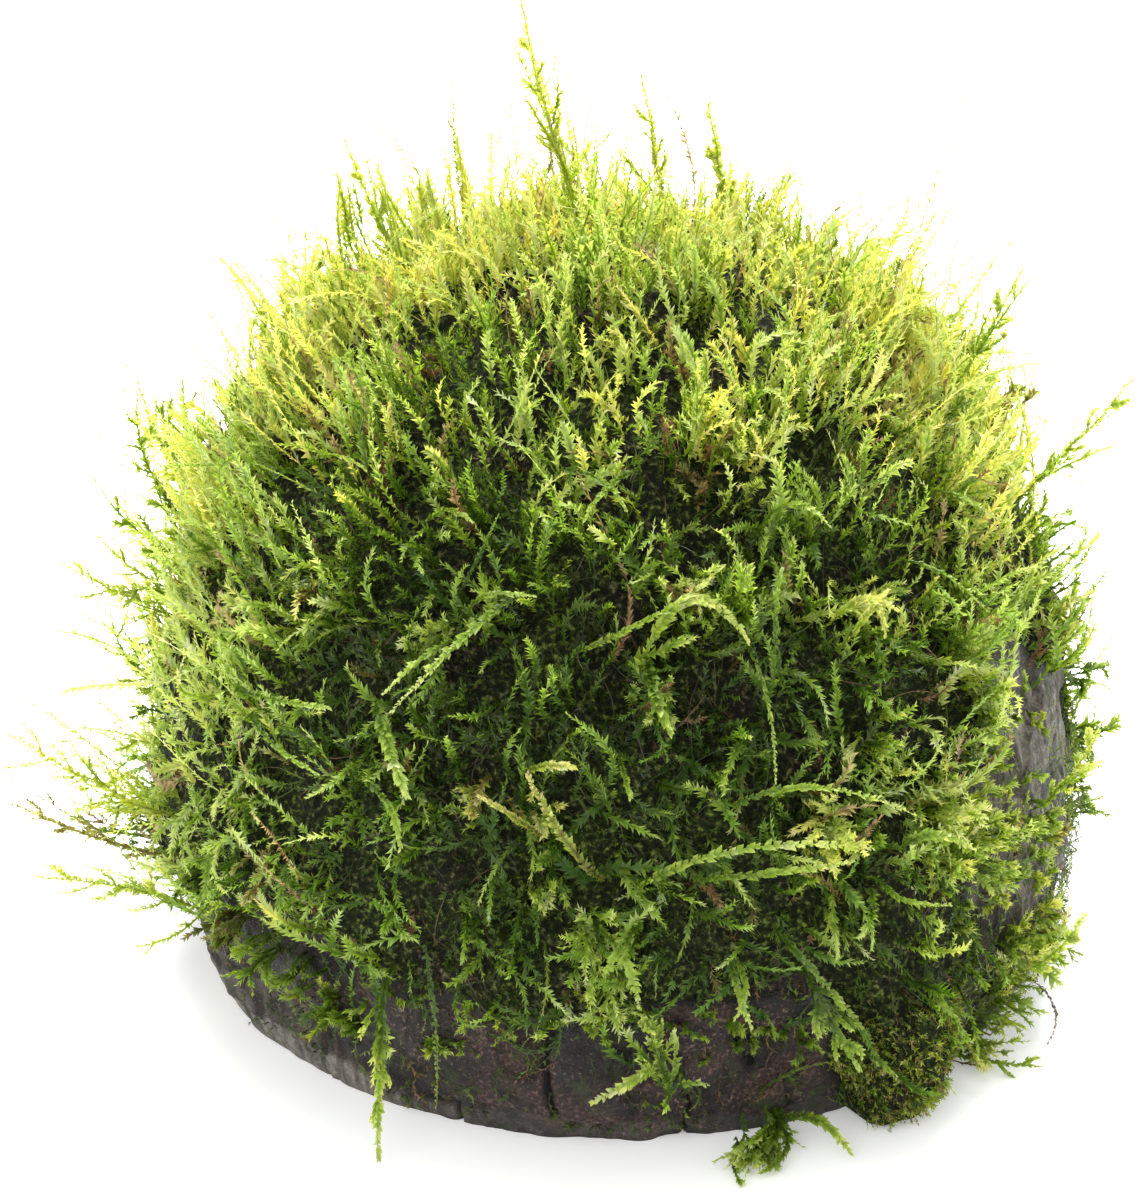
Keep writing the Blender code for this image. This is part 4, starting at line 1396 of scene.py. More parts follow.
CHOSEN_FRONDS = (
    # start, middle, end, size, tip youth, tint, withered
    ((-6.2, -50.1, 60.3), (3.8, -50.5, 65.7), (10.2, -46.4, 69.1), 1.1, 1.1, 0.6, 0),
    ((1.5, -50.9, 59.6), (6.7, -49.5, 66.6), (12.9, -50.6, 62.3), 1.25, 1.2, 0.65, 0),
    ((2, -50.7, 60), (2.8, -55.2, 57.9), (4.4, -56.4, 54.2), 1.6, 0.85, 0.5, 0),
    ((12.6, -48.3, 61.2), (15, -53.8, 56.7), (15.9, -56.9, 48.1), 0.8, 0.95, 0.55, 0),
    ((-18.8, -46.7, 60.5), (-22.6, -49.6, 59.4), (-26.6, -49.4, 55.2), 1.1, 1.05, 0.45, 0),
    ((-11.7, -45.5, 65.7), (-18, -49.9, 62), (-25.6, -50.6, 53.8), 1, 1.05, 0.5, 0),
    ((-17.3, -45.4, 63.4), (-15, -47.9, 66.4), (-10.1, -48.4, 66.5), 0.9, 1, 0.5, 0),
    ((-27.7, -46.6, 53.2), (-25.9, -52.8, 50.1), (-24, -54.9, 45.6), 1.3, 1, 0.5, 0),
    ((-9.5, -57.6, 42.2), (-12.8, -59.1, 45.5), (-16.2, -57.3, 46.8), 0.75, 1.05, 0.7, 0.5),
    ((-3, -59.5, 37.7), (-6.8, -60.8, 43.3), (-10.9, -57.5, 49.5), 0.95, 0.95, 0.68, 0.5),
    ((1.3, -59.7, 36.9), (12.1, -60.4, 41.9), (26.7, -55.6, 39.6), 1.2, 1.1, 0.62, 0),
    ((7.8, -59.1, 37.5), (16.5, -60.1, 39), (24.2, -57, 38.6), 1.3, 1, 0.6, 0),
    ((11.6, -56.2, 45.2), (20.8, -56.2, 47.2), (31.6, -52.3, 41.9), 1, 1.05, 0.58, 0),
    ((-11, -55.1, 48.7), (-8.4, -57.9, 50.8), (-5.8, -57.8, 50.5), 0.9, 1.1, 0.75, 0.3),
    ((-0.9, -55.5, 50.3), (-0.3, -59, 49.6), (0.2, -59.3, 47.4), 0.9, 0.9, 0.6, 0),
    ((-18.3, -43.9, 64.9), (-16.1, -44.8, 69.8), (-14.1, -41.8, 73.2), 0.6, 0.7, 0.4, 0),
    ((-22.4, -37.3, 70.1), (-19.7, -40.3, 73.1), (-17, -41.6, 72.3), 0.9, 1.05, 0.6, 0),
    ((16.8, -49.6, 57), (15.9, -49.5, 63.6), (16.8, -45.1, 68.4), 1.1, 0.85, 0.5, 0),
    ((15.1, -39.4, 71.6), (18.3, -40.3, 73.8), (22, -40.1, 71.3), 1.1, 1.05, 0.6, 0),
    ((24.4, -44.7, 59.5), (26.5, -44.9, 63.3), (28.6, -42.1, 64.4), 1.1, 1.2, 0.75, 0.1),
    ((23.3, -43.6, 62), (26.3, -44.4, 64.2), (29.7, -43, 62.2), 1.1, 1.25, 0.75, 0.1),
    ((24.5, -42.1, 63.2), (27, -44.4, 63.6), (28.2, -45.3, 60.4), 1, 1.2, 0.7, 0.1),
    ((-36.9, -22.5, 70.5), (-33.1, -28.2, 74.7), (-29, -31.8, 74.4), 0.9, 1, 0.6, 0),
    ((-28.1, -11.5, 82), (-27.1, -22, 82.4), (-25.3, -31.9, 76.8), 0.7, 1, 0.65, 0),
    ((-7.4, -36.7, 76.4), (-3, -41, 77), (-0.3, -43.1, 74.4), 1, 0.9, 0.4, 0),
    ((1.4, -37.2, 76.6), (-1.9, -41.5, 76.6), (-4.7, -43.7, 73.4), 1, 0.95, 0.45, 0),
    ((-3, -60.7, 32.2), (-0.3, -64, 30.3), (1.4, -58.9, 21.1), 1.2, 0.95, 0.55, 0),
    ((1.3, -60.6, 32.7), (-0.9, -63.9, 31.5), (-3, -58.6, 24.1), 1.2, 0.9, 0.5, 0),
    ((18.4, -58.5, 28.4), (22.6, -55.5, 21.7), (28.1, -51.5, 12.3), 1, 0.95, 0.6, 0),
    ((11.6, -58.4, 25.9), (12.5, -58.5, 22.2), (13.9, -57.3, 17.9), 0.9, 1, 0.55, 0),
    ((-42.3, -37.9, 47.1), (-39, -45.5, 47.1), (-34, -49.4, 45.4), 1, 0.95, 0.45, 0),
    ((-44.1, -34.8, 48.7), (-38.4, -43.7, 51.7), (-32.7, -47.1, 52.4), 0.9, 0.95, 0.45, 0),
    ((-31.1, -48.2, 45.4), (-26.4, -54.6, 44.9), (-24.8, -56.4, 39.8), 1, 0.9, 0.4, 0),
    ((34.8, -26.7, 69.8), (38, -29, 69.5), (42.3, -26.3, 65.9), 1, 1, 0.6, 0),
    ((30.3, -36.2, 65.4), (35.2, -37.7, 64.2), (40, -36.2, 59.3), 1, 1, 0.6, 0),
    ((30.1, -51.6, 37.2), (33.3, -52.6, 39.6), (38.7, -49.2, 35.9), 1.1, 1, 0.62, 0),
    ((27.9, -53.5, 34.4), (30.5, -55.8, 33.2), (35.8, -52.4, 30.7), 1, 0.95, 0.6, 0),
    ((-22.4, -53, 26), (-21.3, -54, 15.6), (-21.5, -50.3, 3.5), 0.8, 0.8, 0.5, 0),
    ((4, -57.8, 14.3), (1, -58.5, 12), (-4, -55.8, 7.3), 1, 1.05, 0.62, 0),
    ((12, -56.4, 26), (13.1, -57.3, 22.8), (12, -57.2, 19), 1, 1.05, 0.58, 0),
    ((17, -52, 3), (16.5, -56, 2.5), (12.8, -59, 1), 1.1, 0.9, 0.58, 0),
    ((17, -52, 3), (14.5, -57.5, 3.5), (10, -58, 1), 1, 1, 0.6, 0),
    ((17.5, -52, 3), (18, -57, 2), (15, -60.5, 1), 1.1, 0.85, 0.55, 0),
    ((18, -52, 3), (22, -53.5, 3.5), (25.4, -56.5, 1), 1, 0.95, 0.6, 0),
    ((48, -33, 10), (50.5, -35, 7), (49.5, -36, 3), 0.5, 0.6, 0.7, 0.9),
    ((-26, -27, 73), (-25.4, -28, 78.6), (-28.4, -27, 87), 0.45, 1, 0.55, 0),
)
starts, middles, upper, looks = measured_arcs(CHOSEN_FRONDS)
roots = rooted(starts)
paths = np.concatenate([roots[:, None], (roots[:, None] + starts[:, None]) / 2, upper], axis=1)
facts = np.column_stack([looks[:, 1] - 0.65, looks[:, 1:]])
facing = unit(outward(middles) + grow_draw.normal(0.0, 0.2, middles.shape) + 0.5 * UP)
share_out(paths, facing, facts, looks[:, 0] * 0.76, grow_draw, 64)
print("fronds that stand out:", len(paths))

# %% [markdown]
# On the left the outline is open: thin wisps cross one another outside the cushion, between the
# long shoots. They carry side branches and lie face on to the viewer.

# %% Wisps on the left
WISPS = (
    # start, middle, end, size, tip youth, tint, withered
    ((-49.3, 2, 48.4), (-56.9, 1, 51.5), (-63.3, 2, 58.8), 1, 0.8, 0.62, 0),
    ((-48.1, 4, 52.2), (-52.4, 3, 62.4), (-61.6, 3, 60.4), 0.7, 0.75, 0.7, 0.3),
    ((-50.6, 4, 50.2), (-57, 5, 59), (-58, 5, 69.1), 1, 0.85, 0.66, 0),
    ((-49.3, 4, 52.8), (-51.8, 5, 61.6), (-52.6, 5, 70.6), 1.15, 0.85, 0.6, 0),
    ((-49.4, 1, 43.5), (-57, 0, 46.7), (-63, 0, 52.5), 0.75, 0.95, 0.76, 0.1),
    ((-49.4, 0, 40.7), (-60, -1, 44.5), (-66.8, 0, 48.5), 0.6, 0.95, 0.8, 0.1),
    ((-48.8, -4, 30.5), (-55.9, -4, 35.2), (-61.1, -4, 33.6), 0.85, 0.95, 0.78, 0.1),
    ((-48.2, -6, 27.4), (-54.7, -6, 31.4), (-59.8, -6, 32.5), 0.95, 0.65, 0.55, 0),
    ((-48.9, -2, 32.9), (-58.5, -2, 35.6), (-61.9, -1, 43.7), 0.85, 0.85, 0.66, 0),
    ((-49.4, 0, 38.7), (-56.4, -1, 45.8), (-61.7, -1, 42.9), 0.7, 0.9, 0.74, 0.1),
    ((-48.7, -2, 36.9), (-54.7, -2, 39.6), (-58.7, -2, 37.6), 0.8, 0.85, 0.66, 0),
    ((-50.1, 3, 45.3), (-55.3, 2, 48.4), (-59.4, 2, 56.3), 0.75, 0.85, 0.7, 0),
    ((-48.1, -4, 32.5), (-54.8, -4, 33.8), (-60.2, -4, 37.9), 0.8, 0.85, 0.72, 0),
    ((-47.4, -8, 29.1), (-54, -8, 28.4), (-61.8, -8, 29.7), 0.85, 0.9, 0.8, 0.1),
    ((-48, -8, 26.4), (-56.1, -8, 22.3), (-64.4, -8, 26.1), 0.75, 0.95, 0.85, 0.3),
    ((-50.5, 5, 55), (-54.4, 5, 62.9), (-55.1, 6, 67.4), 0.85, 0.85, 0.66, 0),
    ((-49.9, 2, 48.4), (-54.3, 2, 53.7), (-56.4, 2, 60), 0.8, 0.85, 0.7, 0),
    ((-46.7, -10, 24.7), (-52.4, -12, 20.3), (-53.9, -14, 14.2), 0.7, 0.75, 0.72, 0.3),
    ((-46.7, -12, 23), (-59.3, -12, 23), (-63.3, -12, 15.1), 0.65, 0.8, 0.76, 0.2),
)
starts, middles, upper, looks = measured_arcs(WISPS)
paths = np.concatenate([rooted(starts)[:, None], upper], axis=1)
facts = np.column_stack([looks[:, 1] - 0.5, looks[:, 1:]])
facing = unit(TO_VIEWER + grow_draw.normal(0.0, 0.35, middles.shape))
share_out(paths, facing, facts, looks[:, 0], grow_draw, 44, branches=5, branch_leaves=12, branch_share=0.26,
          plain=True)
print("wisps on the left:", len(paths))

# %% [markdown]
# High on the left, pointed tufts make the outline. Each is a bundle of fronds that start round one
# place in the cushion and close up toward one tip.

# %% Pointed tufts high on the left
POINTED = (
    # foot, tip, fronds, size, tip youth, tint
    ((-32.3, 11, 85.4), (-33.2, 11, 96.2), 6, 0.95, 0.75, 0.58),
    ((-26.1, 12, 84.5), (-30.9, 12, 98.6), 6, 0.95, 0.78, 0.6),
    ((-22.3, 13, 86.1), (-24.1, 13, 94.8), 6, 0.95, 0.85, 0.62),
    ((-19.3, 15, 85.4), (-19.8, 15, 100.8), 6, 0.85, 0.85, 0.64),
    ((-16.6, 14, 83.2), (-16.1, 14, 91.7), 5, 0.95, 0.85, 0.62),
    ((-10.4, 16, 83.8), (-8.4, 16, 92.7), 5, 0.95, 0.85, 0.62),
    ((-40.1, 8, 73.9), (-47.6, 8, 85.2), 6, 0.75, 0.85, 0.66),
    ((-35.7, 9, 74.2), (-42.4, 9, 85.1), 8, 0.95, 0.8, 0.6),
    ((-34.5, 10, 77.7), (-38.5, 10, 83.7), 6, 0.9, 0.8, 0.6),
    ((-33.2, 10, 78.9), (-34.8, 10, 86.5), 5, 0.85, 0.7, 0.58),
    ((-40.5, 7, 70.5), (-45.2, 7, 79.3), 7, 0.9, 0.85, 0.64),
    ((-41.7, 6, 67.6), (-46.2, 6, 72), 5, 0.85, 0.85, 0.62),
    ((-44.1, 5, 64.2), (-49.9, 5, 70), 5, 0.8, 0.9, 0.66),
    ((-45.4, 6, 65.1), (-47.5, 6, 76.6), 4, 0.6, 0.75, 0.6),
)
numbers = [row[2] for row in POINTED]
count = sum(numbers)
feet, tips = (AXIS + column(POINTED, number, numbers) * MM for number in range(2))
feet = feet + grow_draw.normal(0.0, 1.6 * MM, (count, 3))
ends = tips + (feet - tips) * grow_draw.uniform(0.0, 0.45, (count, 1))
ends = ends + grow_draw.normal(0.0, 0.5 * MM, (count, 3))
bows = (feet + ends) / 2 + grow_draw.normal(0.0, 0.7 * MM, (count, 3))
paths = np.concatenate([rooted(feet)[:, None], arc(feet, bows, ends, 9)], axis=1)
looks = looks_of(POINTED, 3, numbers) + grow_draw.normal(0.0, 0.06, (count, 3))
# Painted light: youth is raised above the table's tip youth, so tufts that face the viewer, away from the
# light above and behind, look lit.
facts = np.column_stack([looks[:, 1] + 0.08, looks[:, 1] + 0.3, looks[:, 2] + 0.1, np.full(count, 0.05)])
facing = unit(TO_VIEWER + grow_draw.normal(0.0, 0.6, (count, 3)))
share_out(paths, facing, facts, looks[:, 0], grow_draw, 40, plain=True)
print("fronds in pointed tufts:", count)


# %% [markdown]
# Some clumps catch the eye too. Each is a fan of fronds round a place on the cushion: bright green
# ones low in the front and at the right, and tan or brown ones here and there.

# %% Clumps that stand out
FANS = (
    # place, length, how much it hangs, fronds, tip youth, tint, withered
    ((-3.4, -57.3, 30), 9, 0.7, 22, 0.95, 0.55, 0), ((-2.4, -58.3, 25), 8, 1, 14, 0.92, 0.52, 0),
    ((-9, -56, 35), 6, 0.3, 10, 1, 0.6, 0.2), ((22.3, -52.2, 39.3), 7, 0.2, 28, 1.3, 0.72, 0.1),
    ((27, -39, 61.5), 5, 0, 14, 1.4, 0.75, 0.1), ((37.5, -33.5, 51.5), 8, 0.1, 12, 1.05, 0.66, 0.25),
    ((12.5, -31, 76.7), 6, -0.2, 12, 1.15, 0.6, 0), ((2.9, -50, 55.3), 6.5, 0.3, 10, 1, 0.52, 0),
    ((27.9, -45.5, 48.2), 7, 0.2, 12, 0.95, 0.6, 0.1), ((35, -44, 38.5), 8, 0.2, 16, 1.1, 0.6, 0),
    ((-20.6, -43.5, 59.3), 6, 0.1, 10, 1.1, 0.5, 0), ((6.8, -43.5, 65.4), 6.5, -0.1, 12, 1.1, 0.55, 0),
    ((-31, 14, 78), 5, -0.3, 9, 0.8, 0.6, 0.75), ((-22.1, -19.5, 80), 4.5, -0.2, 8, 0.4, 0.6, 0.7),
    ((30.5, -2.9, 80), 5, -0.3, 9, 0.95, 0.7, 0.62), ((46, 8.3, 66.5), 5, -0.2, 8, 1, 0.7, 0.6),
    ((-9.6, -55, 43.8), 5.5, 0.3, 10, 1.05, 0.7, 0.48), ((-16.1, -53.5, 44.7), 5, 0.3, 8, 0.95, 0.7, 0.52),
    ((-34.8, -34.5, 60), 4, 0, 5, 0.75, 0.6, 0.56), ((-41, -42, 30.1), 5, 0.3, 8, 0.95, 0.66, 0.6),
    ((8, -36, 74.5), 5, -0.2, 8, 0.6, 0.6, 0.6), ((29.2, -13.5, 78.5), 5, -0.3, 8, 0.85, 0.66, 0.6),
    ((17, -54.5, 2.5), 6, 0.2, 9, 0.8, 0.55, 0), ((13.5, -58, 2), 4, 0.1, 8, 0.95, 0.55, 0),
    ((-50, -27, 20), 6.5, 0.6, 14, 0.8, 0.6, 0.1), ((-46.5, -32, 17.5), 6, 0.7, 12, 0.75, 0.62, 0.5),
    ((-42, -38.5, 16.5), 6.5, 0.7, 12, 0.85, 0.55, 0.1), ((-37.5, -43, 17), 5.5, 0.6, 9, 0.7, 0.55, 0.1),
    ((57, 4.5, 14), 6, 0.4, 10, 0.85, 0.55, 0.1), ((57.5, 3.5, 23), 7, 0.3, 11, 0.9, 0.58, 0.1),
    ((56.5, 4.5, 32), 7, 0.3, 11, 0.95, 0.6, 0.1),
)
numbers = [row[3] for row in FANS]
count = sum(numbers)
centres = AXIS + column(FANS, 0, numbers) * MM
normal = outward(centres)
hang = column(FANS, 2, numbers)[:, None]
length = column(FANS, 1, numbers)[:, None] * MM * grow_draw.uniform(0.6, 1.1, (count, 1))
centres = centres + grow_draw.normal(0.0, 1.2 * MM, centres.shape)
way = unit(0.55 * normal - hang * UP + grow_draw.normal(0.0, 0.55, centres.shape))
roots = centres - normal * length * 0.45
tips = centres + way * length * 0.6
paths = arc(roots, centres + normal * 1.2 * MM, tips, 8)
looks = looks_of(FANS, 4, numbers) + grow_draw.normal(0.0, 0.05, (count, 3))
facts = np.column_stack([looks[:, 0] - 0.6, looks])
facing = unit(normal + 0.4 * UP + grow_draw.normal(0.0, 0.5, normal.shape))
sizes = grow_draw.uniform(0.65, 1.0, count)
share_out(paths, facing, facts, sizes, grow_draw, 26, branches=1, branch_leaves=9, plain=True)
print("fronds in clumps that stand out:", count)

# %% [markdown]
# ## Threads on bare shell
#
# Where the shell is bare, young moss creeps over it: thin stems flat on the wood, with few small
# leaves. They run down from the cushion's edge over the front band, and criss-cross the bare patch
# on the right, with small tufts here and there.

# %% Creeping threads
def creeping_paths(starts, ways, lengths, height, draw, points):
    """Paths on the shell: straight steps from a start, bent sideways, and put back on its surface."""
    count = len(starts)
    t = np.linspace(0.0, 1.0, points)[None, :, None]
    normal = outward(starts)
    sideways = np.cross(normal, ways) * draw.normal(0.0, 0.25, (count, 1))
    steps = ways[:, None] * t + sideways[:, None] * 4 * t * (1 - t)
    flat = starts[:, None] + steps * lengths[:, None, None]
    wave = np.abs(np.sin(3.0 * math.pi * t[..., 0] + draw.uniform(0, 3, (count, 1))))
    paths = egg(*egg_angles(flat), height[:, None] * (0.35 + 0.65 * wave))
    paths[..., 2] = np.maximum(paths[..., 2], 0.6 * MM)
    return paths, unit(normal + draw.normal(0.0, 0.25, (count, 3)))


def creep(starts, ways, length, lift, points, youth, tint, withered, leaves, size):
    """Adds threads that creep from their starts. Lengths and lifts are ranges in millimetres."""
    count = len(starts)
    lengths, lifts = (creep_draw.uniform(low * MM, high * MM, count) for low, high in (length, lift))
    paths, facing = creeping_paths(starts, ways, lengths, lifts, creep_draw, points)
    facts = [creep_draw.uniform(*limits, count) for limits in (*youth, tint)]
    facts.append(np.where(creep_draw.random(count) < withered, 0.7, 0.1))
    sizes = creep_draw.uniform(*size, count)
    creeping.append(fronds(paths, facing, np.stack(facts, -1), creep_draw, leaves, size=sizes, plain=True))


creep_draw = np.random.default_rng(61)
creeping = []
PATCH_THREADS = 260
BAND_THREADS = 230
turns = PATCH_BEARING + creep_draw.uniform(-0.62, 0.5, PATCH_THREADS)
starts = on_shell(round_axis(turns, creep_draw.uniform(1.0, 6.2, PATCH_THREADS) ** 2 * MM))
ways = unit(np.cross(outward(starts), creep_draw.normal(0.0, 1.0, starts.shape)) + 0.2 * UP)
creep(starts, ways, (5, 16), (0.5, 2.2), 8, ((0.1, 0.5), (0.4, 1.0)), (0.4, 0.8), 0.10, 18, (0.3, 0.7))

turns = math.radians(-100) + creep_draw.uniform(-0.85, 0.85, BAND_THREADS)
starts = on_shell(round_axis(turns, creep_draw.uniform(4 * MM, 22 * MM, BAND_THREADS) + 3 * MM))
ways = unit(creep_draw.normal(0.0, 0.7, starts.shape) - UP)
creep(starts, ways, (2, 7), (0.3, 1.2), 5, ((-0.1, 0.3), (0.2, 0.85)), (0.3, 0.7), 0.3, 7, (0.35, 0.7))

# %% [markdown]
# The tufts on the bare patch fan out from their places: each is a bearing in degrees, a height, a
# size and a number of fronds, and its fronds go out, up and to all sides.

# %% Small tufts on the patch and the band
TUFTS = (
    # bearing, height, length, fronds
    (-50, 32, 7.5, 22), (-46, 31, 8, 26), (-42, 29, 7, 18), (-43, 34, 6, 12), (-30, 31, 4, 8),
    (-24, 39, 3.5, 5), (-38, 40, 4, 6), (-27, 24, 5, 10), (-33, 27, 4, 8), (-34, 14, 6.5, 14),
    (-28, 11, 7, 16), (-36, 8, 6.5, 14), (-41, 4, 6, 12), (-60, 27, 5, 8), (-38, 23, 3.5, 8),
    (-28, 15, 5.5, 12), (-45, 21, 3.5, 7), (-58, 23, 4.5, 8), (-31, 22, 3.5, 7), (-23, 10, 4.5, 9),
    (-105, 18, 5, 8), (-113, 13, 4, 7), (-125, 11, 4.5, 8), (-128, 12, 5, 11), (-93, 19, 4.5, 7),
    (-76, 16, 4.5, 8), (-83, 17, 4, 7), (-118, 17, 5, 8), (-70, 14, 4, 7),
)
tuft_rows = looks_of(TUFTS, 0, [row[3] for row in TUFTS])
count = len(tuft_rows)
turns = np.radians(tuft_rows[:, 0]) + creep_draw.normal(0.0, 0.03, count)
heights = tuft_rows[:, 1] * MM + creep_draw.normal(0.0, 1.6 * MM, count)
roots = on_shell(round_axis(turns, heights), -0.2 * MM)
normal = outward(roots)
way = unit(0.75 * normal + 0.25 * UP + creep_draw.normal(0.0, 0.6, roots.shape))
length = tuft_rows[:, 2:3] * MM * creep_draw.uniform(0.6, 1.1, (count, 1))
tips = roots + way * length
floor_out = np.maximum(0.8 * MM - np.einsum('ij,ij->i', tips - on_shell(tips), outward(tips)), 0.0)
tips = tips + outward(tips) * floor_out[:, None]
middle = (roots + tips) / 2 + normal * length * 0.18
paths = arc(roots, middle, tips, 6)
facing = unit(normal + creep_draw.normal(0.0, 0.6, normal.shape))
band_tuft = tuft_rows[:, 0] < -60
facts = np.column_stack([creep_draw.uniform(0.15, 0.5, count) - 0.2 * band_tuft,
                         creep_draw.uniform(0.75, 1.2, count) - 0.25 * band_tuft,
                         creep_draw.uniform(0.4, 0.8, count),
                         np.where(creep_draw.random(count) < 0.06, 0.6, 0.1)])
sizes = creep_draw.uniform(0.6, 1.0, count)
creeping.append(fronds(paths, facing, facts, creep_draw, 22, 2, 9, size=sizes, plain=True))
points, triangles, facts = join(creeping)
new_piece("creeping_moss", points, triangles, MOSS, (), facts)

for name, parts in zip(REGIONS, grown):
    points, triangles, facts = join(parts)
    new_piece(name, points, triangles, MOSS, ("moss_mat",), facts)

# %% [markdown]
# ## The long shoots
#
# Some shoots reach far beyond the cushion: the tall ones on the crown, the horn on the right, the
# lacy sprays on the left and the strands that hang to the ground. Each is a solid of its own in the
# frame. Its middle line is read back from that solid and carried down to the shell, and a frond
# with side branches is grown along it.

# %% Read a shoot's middle line
def middle_line(node, points):
    """Points along a shoot: its vertices sorted along its longest direction, averaged in groups."""
    corners = corners_of(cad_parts[node].data)
    middle = corners.mean(axis=0)
    axis = np.linalg.svd(corners - middle, full_matrices=False)[2][0]
    share = (corners - middle) @ axis
    shell_gap = np.linalg.norm(corners - on_shell(corners), axis=1)
    if shell_gap[np.argmin(share)] > shell_gap[np.argmax(share)]:
        share = -share
    edges = np.linspace(share.min(), share.max() + 1e-9, points + 1)
    group = np.digitize(share, edges) - 1
    line = [corners[group == number].mean(axis=0) for number in range(points) if np.any(group == number)]
    return np.stack(line), corners[np.argmax(share)]


def shoot_path(node, points=16):
    """A smooth path from the shell up through the shoot to its tip, resampled by its length."""
    line, tip = middle_line(node, 8)
    start = line[0]
    way = unit(line[1] - start)
    low = start - way * min(np.linalg.norm(start - rooted(start)), 8 * MM) * 0.6
    root = rooted(low)
    root[2] = max(root[2], 1.0 * MM)
    line = np.concatenate([[root], [(root + start) / 2], line, [tip]])
    step = np.concatenate([[0.0], np.cumsum(np.linalg.norm(np.diff(line, axis=0), axis=1))])
    even = np.linspace(0.0, step[-1], points)
    return np.stack([np.interp(even, step, line[:, axis]) for axis in range(3)], axis=-1)


def companion_paths(path, count, spread, draw):
    """Paths that leave a shoot's lower half and end beside its upper half."""
    last = len(path) - 1
    starts = path[(draw.uniform(0.1, 0.55, count) * last).astype(int)]
    ends = path[(draw.uniform(0.6, 0.95, count) * last).astype(int)] + draw.normal(0.0, spread, (count, 3))
    middle = (starts + ends) / 2 + draw.normal(0.0, spread * 0.35, (count, 3))
    paths = arc(starts, middle, ends, 9)
    paths[..., 2] = np.maximum(paths[..., 2], 0.5 * MM)
    return paths


# Size, root youth, tip youth, tint, withered, millimetres of stem for each side branch, how long a
# side branch is as a share of the shoot, companions, and how far they spread in millimetres
USUAL_LOOK = (0.85, 0.62, 1.04, 0.66, 0.0, 5.0, 0.22, 3, 1.8)
# Painted light: the crown shoots have a higher root youth than usual, so that shoots standing against the
# light above and behind look lit.
SHOOT_LOOKS = {
    "moss_shoot_crown_tall": (0.8, 0.7, 0.96, 0.76, 0.22, 5, 0.14, 6, 2),
    "moss_shoot_crown_thin": (0.5, 0.74, 0.98, 0.74, 0.1, 12, 0.12, 0, 1),
    "moss_shoot_crown_left": (0.8, 0.74, 1.04, 0.72, 0, 6, 0.18, 3, 2),
    "moss_shoot_crown_middle": (0.75, 0.72, 1, 0.72, 0, 6, 0.2, 3, 1.6),
    "moss_shoot_crown_right": (0.9, 0.68, 0.98, 0.74, 0.3, 8, 0.15, 3, 1.8),
    "moss_shoot_left_high": (0.7, 0.64, 1.04, 0.68, 0.05, 4.5, 0.22, 4, 2.5),
    "moss_shoot_left_middle": (0.6, 0.64, 1.06, 0.72, 0.1, 4, 0.26, 5, 3.2),
    "moss_shoot_left_spray": (0.72, 0.62, 1, 0.85, 0.25, 2.6, 0.36, 9, 4.5),
    "moss_shoot_left_low": (0.72, 0.62, 1, 0.75, 0.15, 3, 0.34, 6, 4),
    "moss_shoot_left_rust": (0.6, 0.5, 0.85, 0.72, 0.6, 5, 0.2, 3, 3),
    "moss_strand_front_left": (0.95, 0.25, 1.05, 0.6, 0, 8, 0.2, 2, 0.8),
    "moss_strand_front_middle": (0.9, 0.15, 1, 0.56, 0, 2.4, 0.3, 4, 1.8),
    "moss_strand_front_right": (0.85, 0.1, 0.9, 0.55, 0, 3, 0.3, 3, 1.6),
    "moss_sprig_rim_front": (0.75, 0.25, 0.95, 0.6, 0.05, 1.8, 0.4, 9, 2.8),
    "moss_sprig_rim_right": (0.75, 0.35, 0.95, 0.62, 0.05, 3, 0.3, 3, 1.8),
}

LEAF_SPACING = 0.36 * MM
shoot_draw = np.random.default_rng(47)
shoot_names = sorted(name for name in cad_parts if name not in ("coconut_shell", "moss_mat"))
for name in shoot_names:
    look = SHOOT_LOOKS.get(name, USUAL_LOOK)
    size, root_young, tip_young, tint, withered, spacing, branch_share, companions, spread = look
    path = shoot_path(name)
    length = lengths_of(path[None])[0]
    leaves = max(10, int(length / LEAF_SPACING))
    branches = max(1, int(length / (spacing * MM)))
    facts = np.array([[root_young, tip_young, tint, withered]])
    facing = unit(TO_VIEWER + shoot_draw.normal(0.0, 0.3, (1, 3)))
    parts = [fronds(path[None], facing, facts, shoot_draw, leaves, branches, 14, branch_share, size, sides=5)]
    if companions:
        beside = companion_paths(path, companions, spread * MM, shoot_draw)
        turned = unit(facing + shoot_draw.normal(0.0, 0.4, (companions, 3)))
        looks = facts + shoot_draw.normal(0.0, 0.08, (companions, 4))
        smaller = size * 0.85
        parts.append(fronds(beside, turned, looks, shoot_draw, leaves // 2, 2, 8, 0.3, smaller, plain=True))
    points, triangles, facts = join(parts)
    new_piece(name.replace("moss_", "frond_"), points, triangles, MOSS, (name,), facts)

# %% [markdown]
# ## Floor, light and camera
#
# The shell stands on a plain white table in even light. A wide soft light hangs above and behind,
# so that tips at the outline glow, and a weaker one stands at the front. The camera looks down from
# where the photograph was taken.

# %% Floor
def floor_material():
    """Matt white with a faint mottle."""
    material, tree, shader, place = new_material("white table")
    spots = add_mottle(tree, place, 6.0, 2.0, 0.3, 0.7)
    white = mix_colours(tree, spots, (0.93, 0.93, 0.93), (0.96, 0.96, 0.96))
    tree.links.new(white, shader.inputs["Base Color"])
    shader.inputs["Roughness"].default_value = 0.7
    shader.inputs["Emission Color"].default_value = (1.0, 1.0, 1.0, 1.0)
    shader.inputs["Emission Strength"].default_value = 0.22
    return material


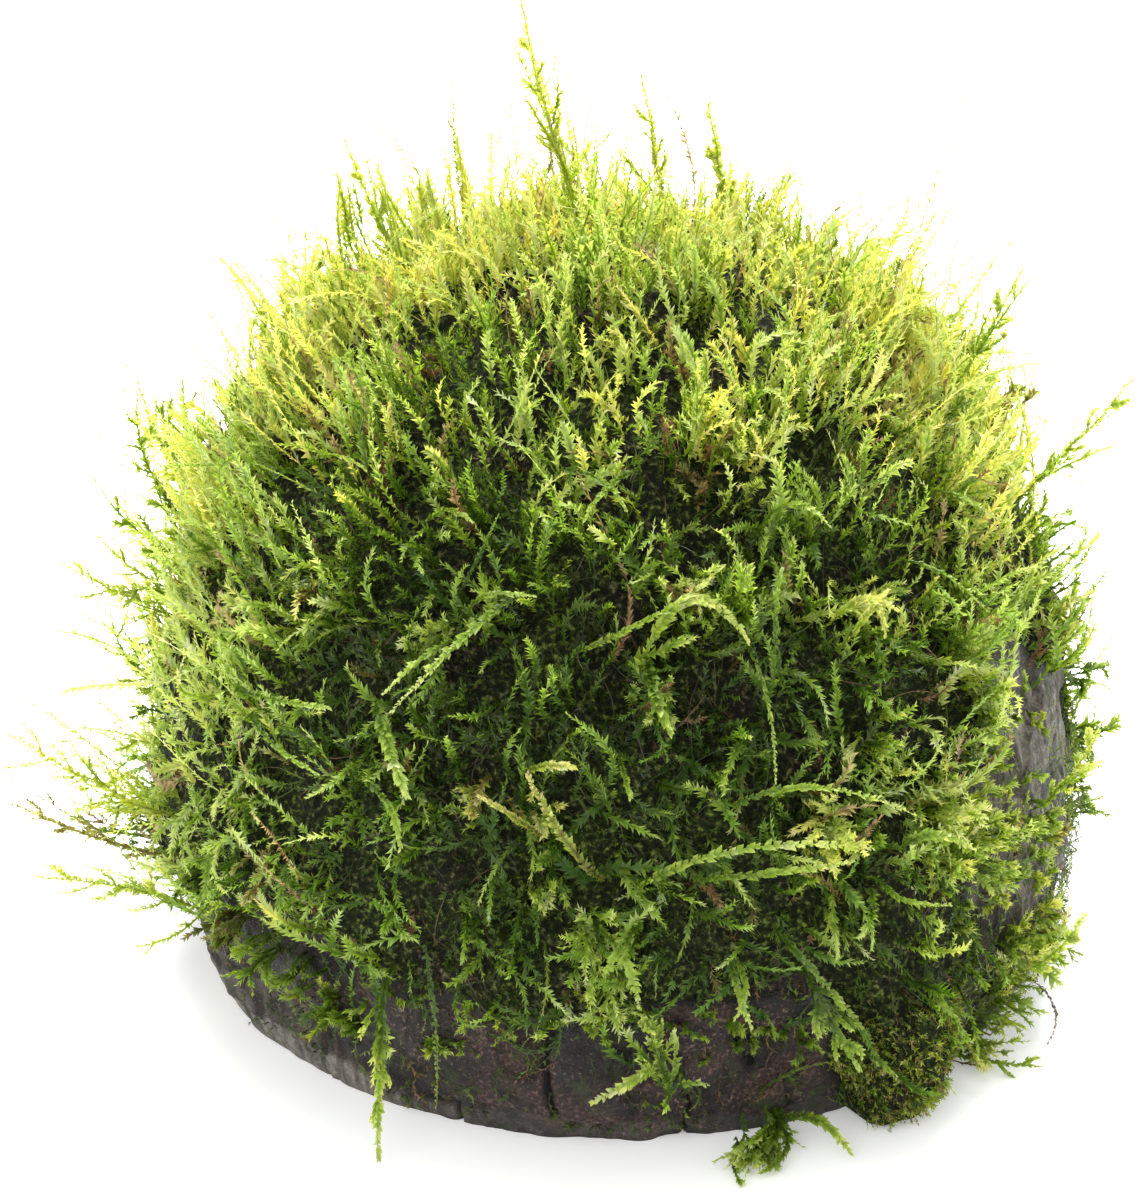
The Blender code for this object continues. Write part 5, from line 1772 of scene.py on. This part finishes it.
TABLE_HALF = 3.0
corners = [(x * TABLE_HALF, y * TABLE_HALF, 0.0) for x, y in ((-1, -1), (1, -1), (1, 1), (-1, 1))]
floor_mesh = bpy.data.meshes.new("table")
floor_mesh.from_pydata(corners, [], [(0, 1, 2, 3)])
floor_mesh.materials.append(floor_material())
table = bpy.data.objects.new("table", floor_mesh)
bpy.context.scene.collection.objects.link(table)

# %% Light
world = bpy.data.worlds.new("white room")
world.use_nodes = True
background = world.node_tree.nodes["Background"]
background.inputs["Color"].default_value = (1.0, 1.0, 1.0, 1.0)
background.inputs["Strength"].default_value = 1.15
bpy.context.scene.world = world
bpy.context.scene.view_settings.view_transform = 'Standard'


def soft_light(name, place, aim, size, power):
    """A square area light at a place, turned to face its aim."""
    lamp = bpy.data.lights.new(name, 'AREA')
    lamp.size = size
    lamp.energy = power
    item = bpy.data.objects.new(name, lamp)
    item.location = place
    way = np.array(aim) - np.array(place)
    flat = math.hypot(way[0], way[1])
    item.rotation_euler = (math.atan2(flat, -way[2]), 0.0, math.atan2(way[1], way[0]) - math.pi / 2)
    bpy.context.scene.collection.objects.link(item)


soft_light("light above", (0.0, 0.35, 0.75), (0.0, 0.0, 0.05), 0.6, 21.0)
soft_light("light in front", (-0.35, -0.7, 0.55), (0.0, 0.0, 0.04), 0.5, 2.5)

# %% [markdown]
# The camera's place comes from the photograph: half a metre away, 24.5 degrees above the table. The
# lens is long, so near and far parts of the shell have almost one scale.

# %% Camera
CAMERA_DISTANCE = 0.500
CAMERA_ELEVATION = math.radians(24.5)
FOCAL_PIXELS = 4130.0
LONG_SIDE = 1200.0
TARGET = AXIS + np.array([-6.4, 0.0, 44.0]) * MM

camera_data = bpy.data.cameras.new("camera")
camera_data.sensor_width = 36.0
camera_data.lens = FOCAL_PIXELS * camera_data.sensor_width / LONG_SIDE
camera_data.clip_start = 0.01
camera = bpy.data.objects.new("camera", camera_data)
back = np.array([0.0, -math.cos(CAMERA_ELEVATION), math.sin(CAMERA_ELEVATION)])
camera.location = TARGET + CAMERA_DISTANCE * back
camera.rotation_euler = (math.pi / 2 - CAMERA_ELEVATION, 0.0, 0.0)
bpy.context.scene.collection.objects.link(camera)
bpy.context.scene.camera = camera
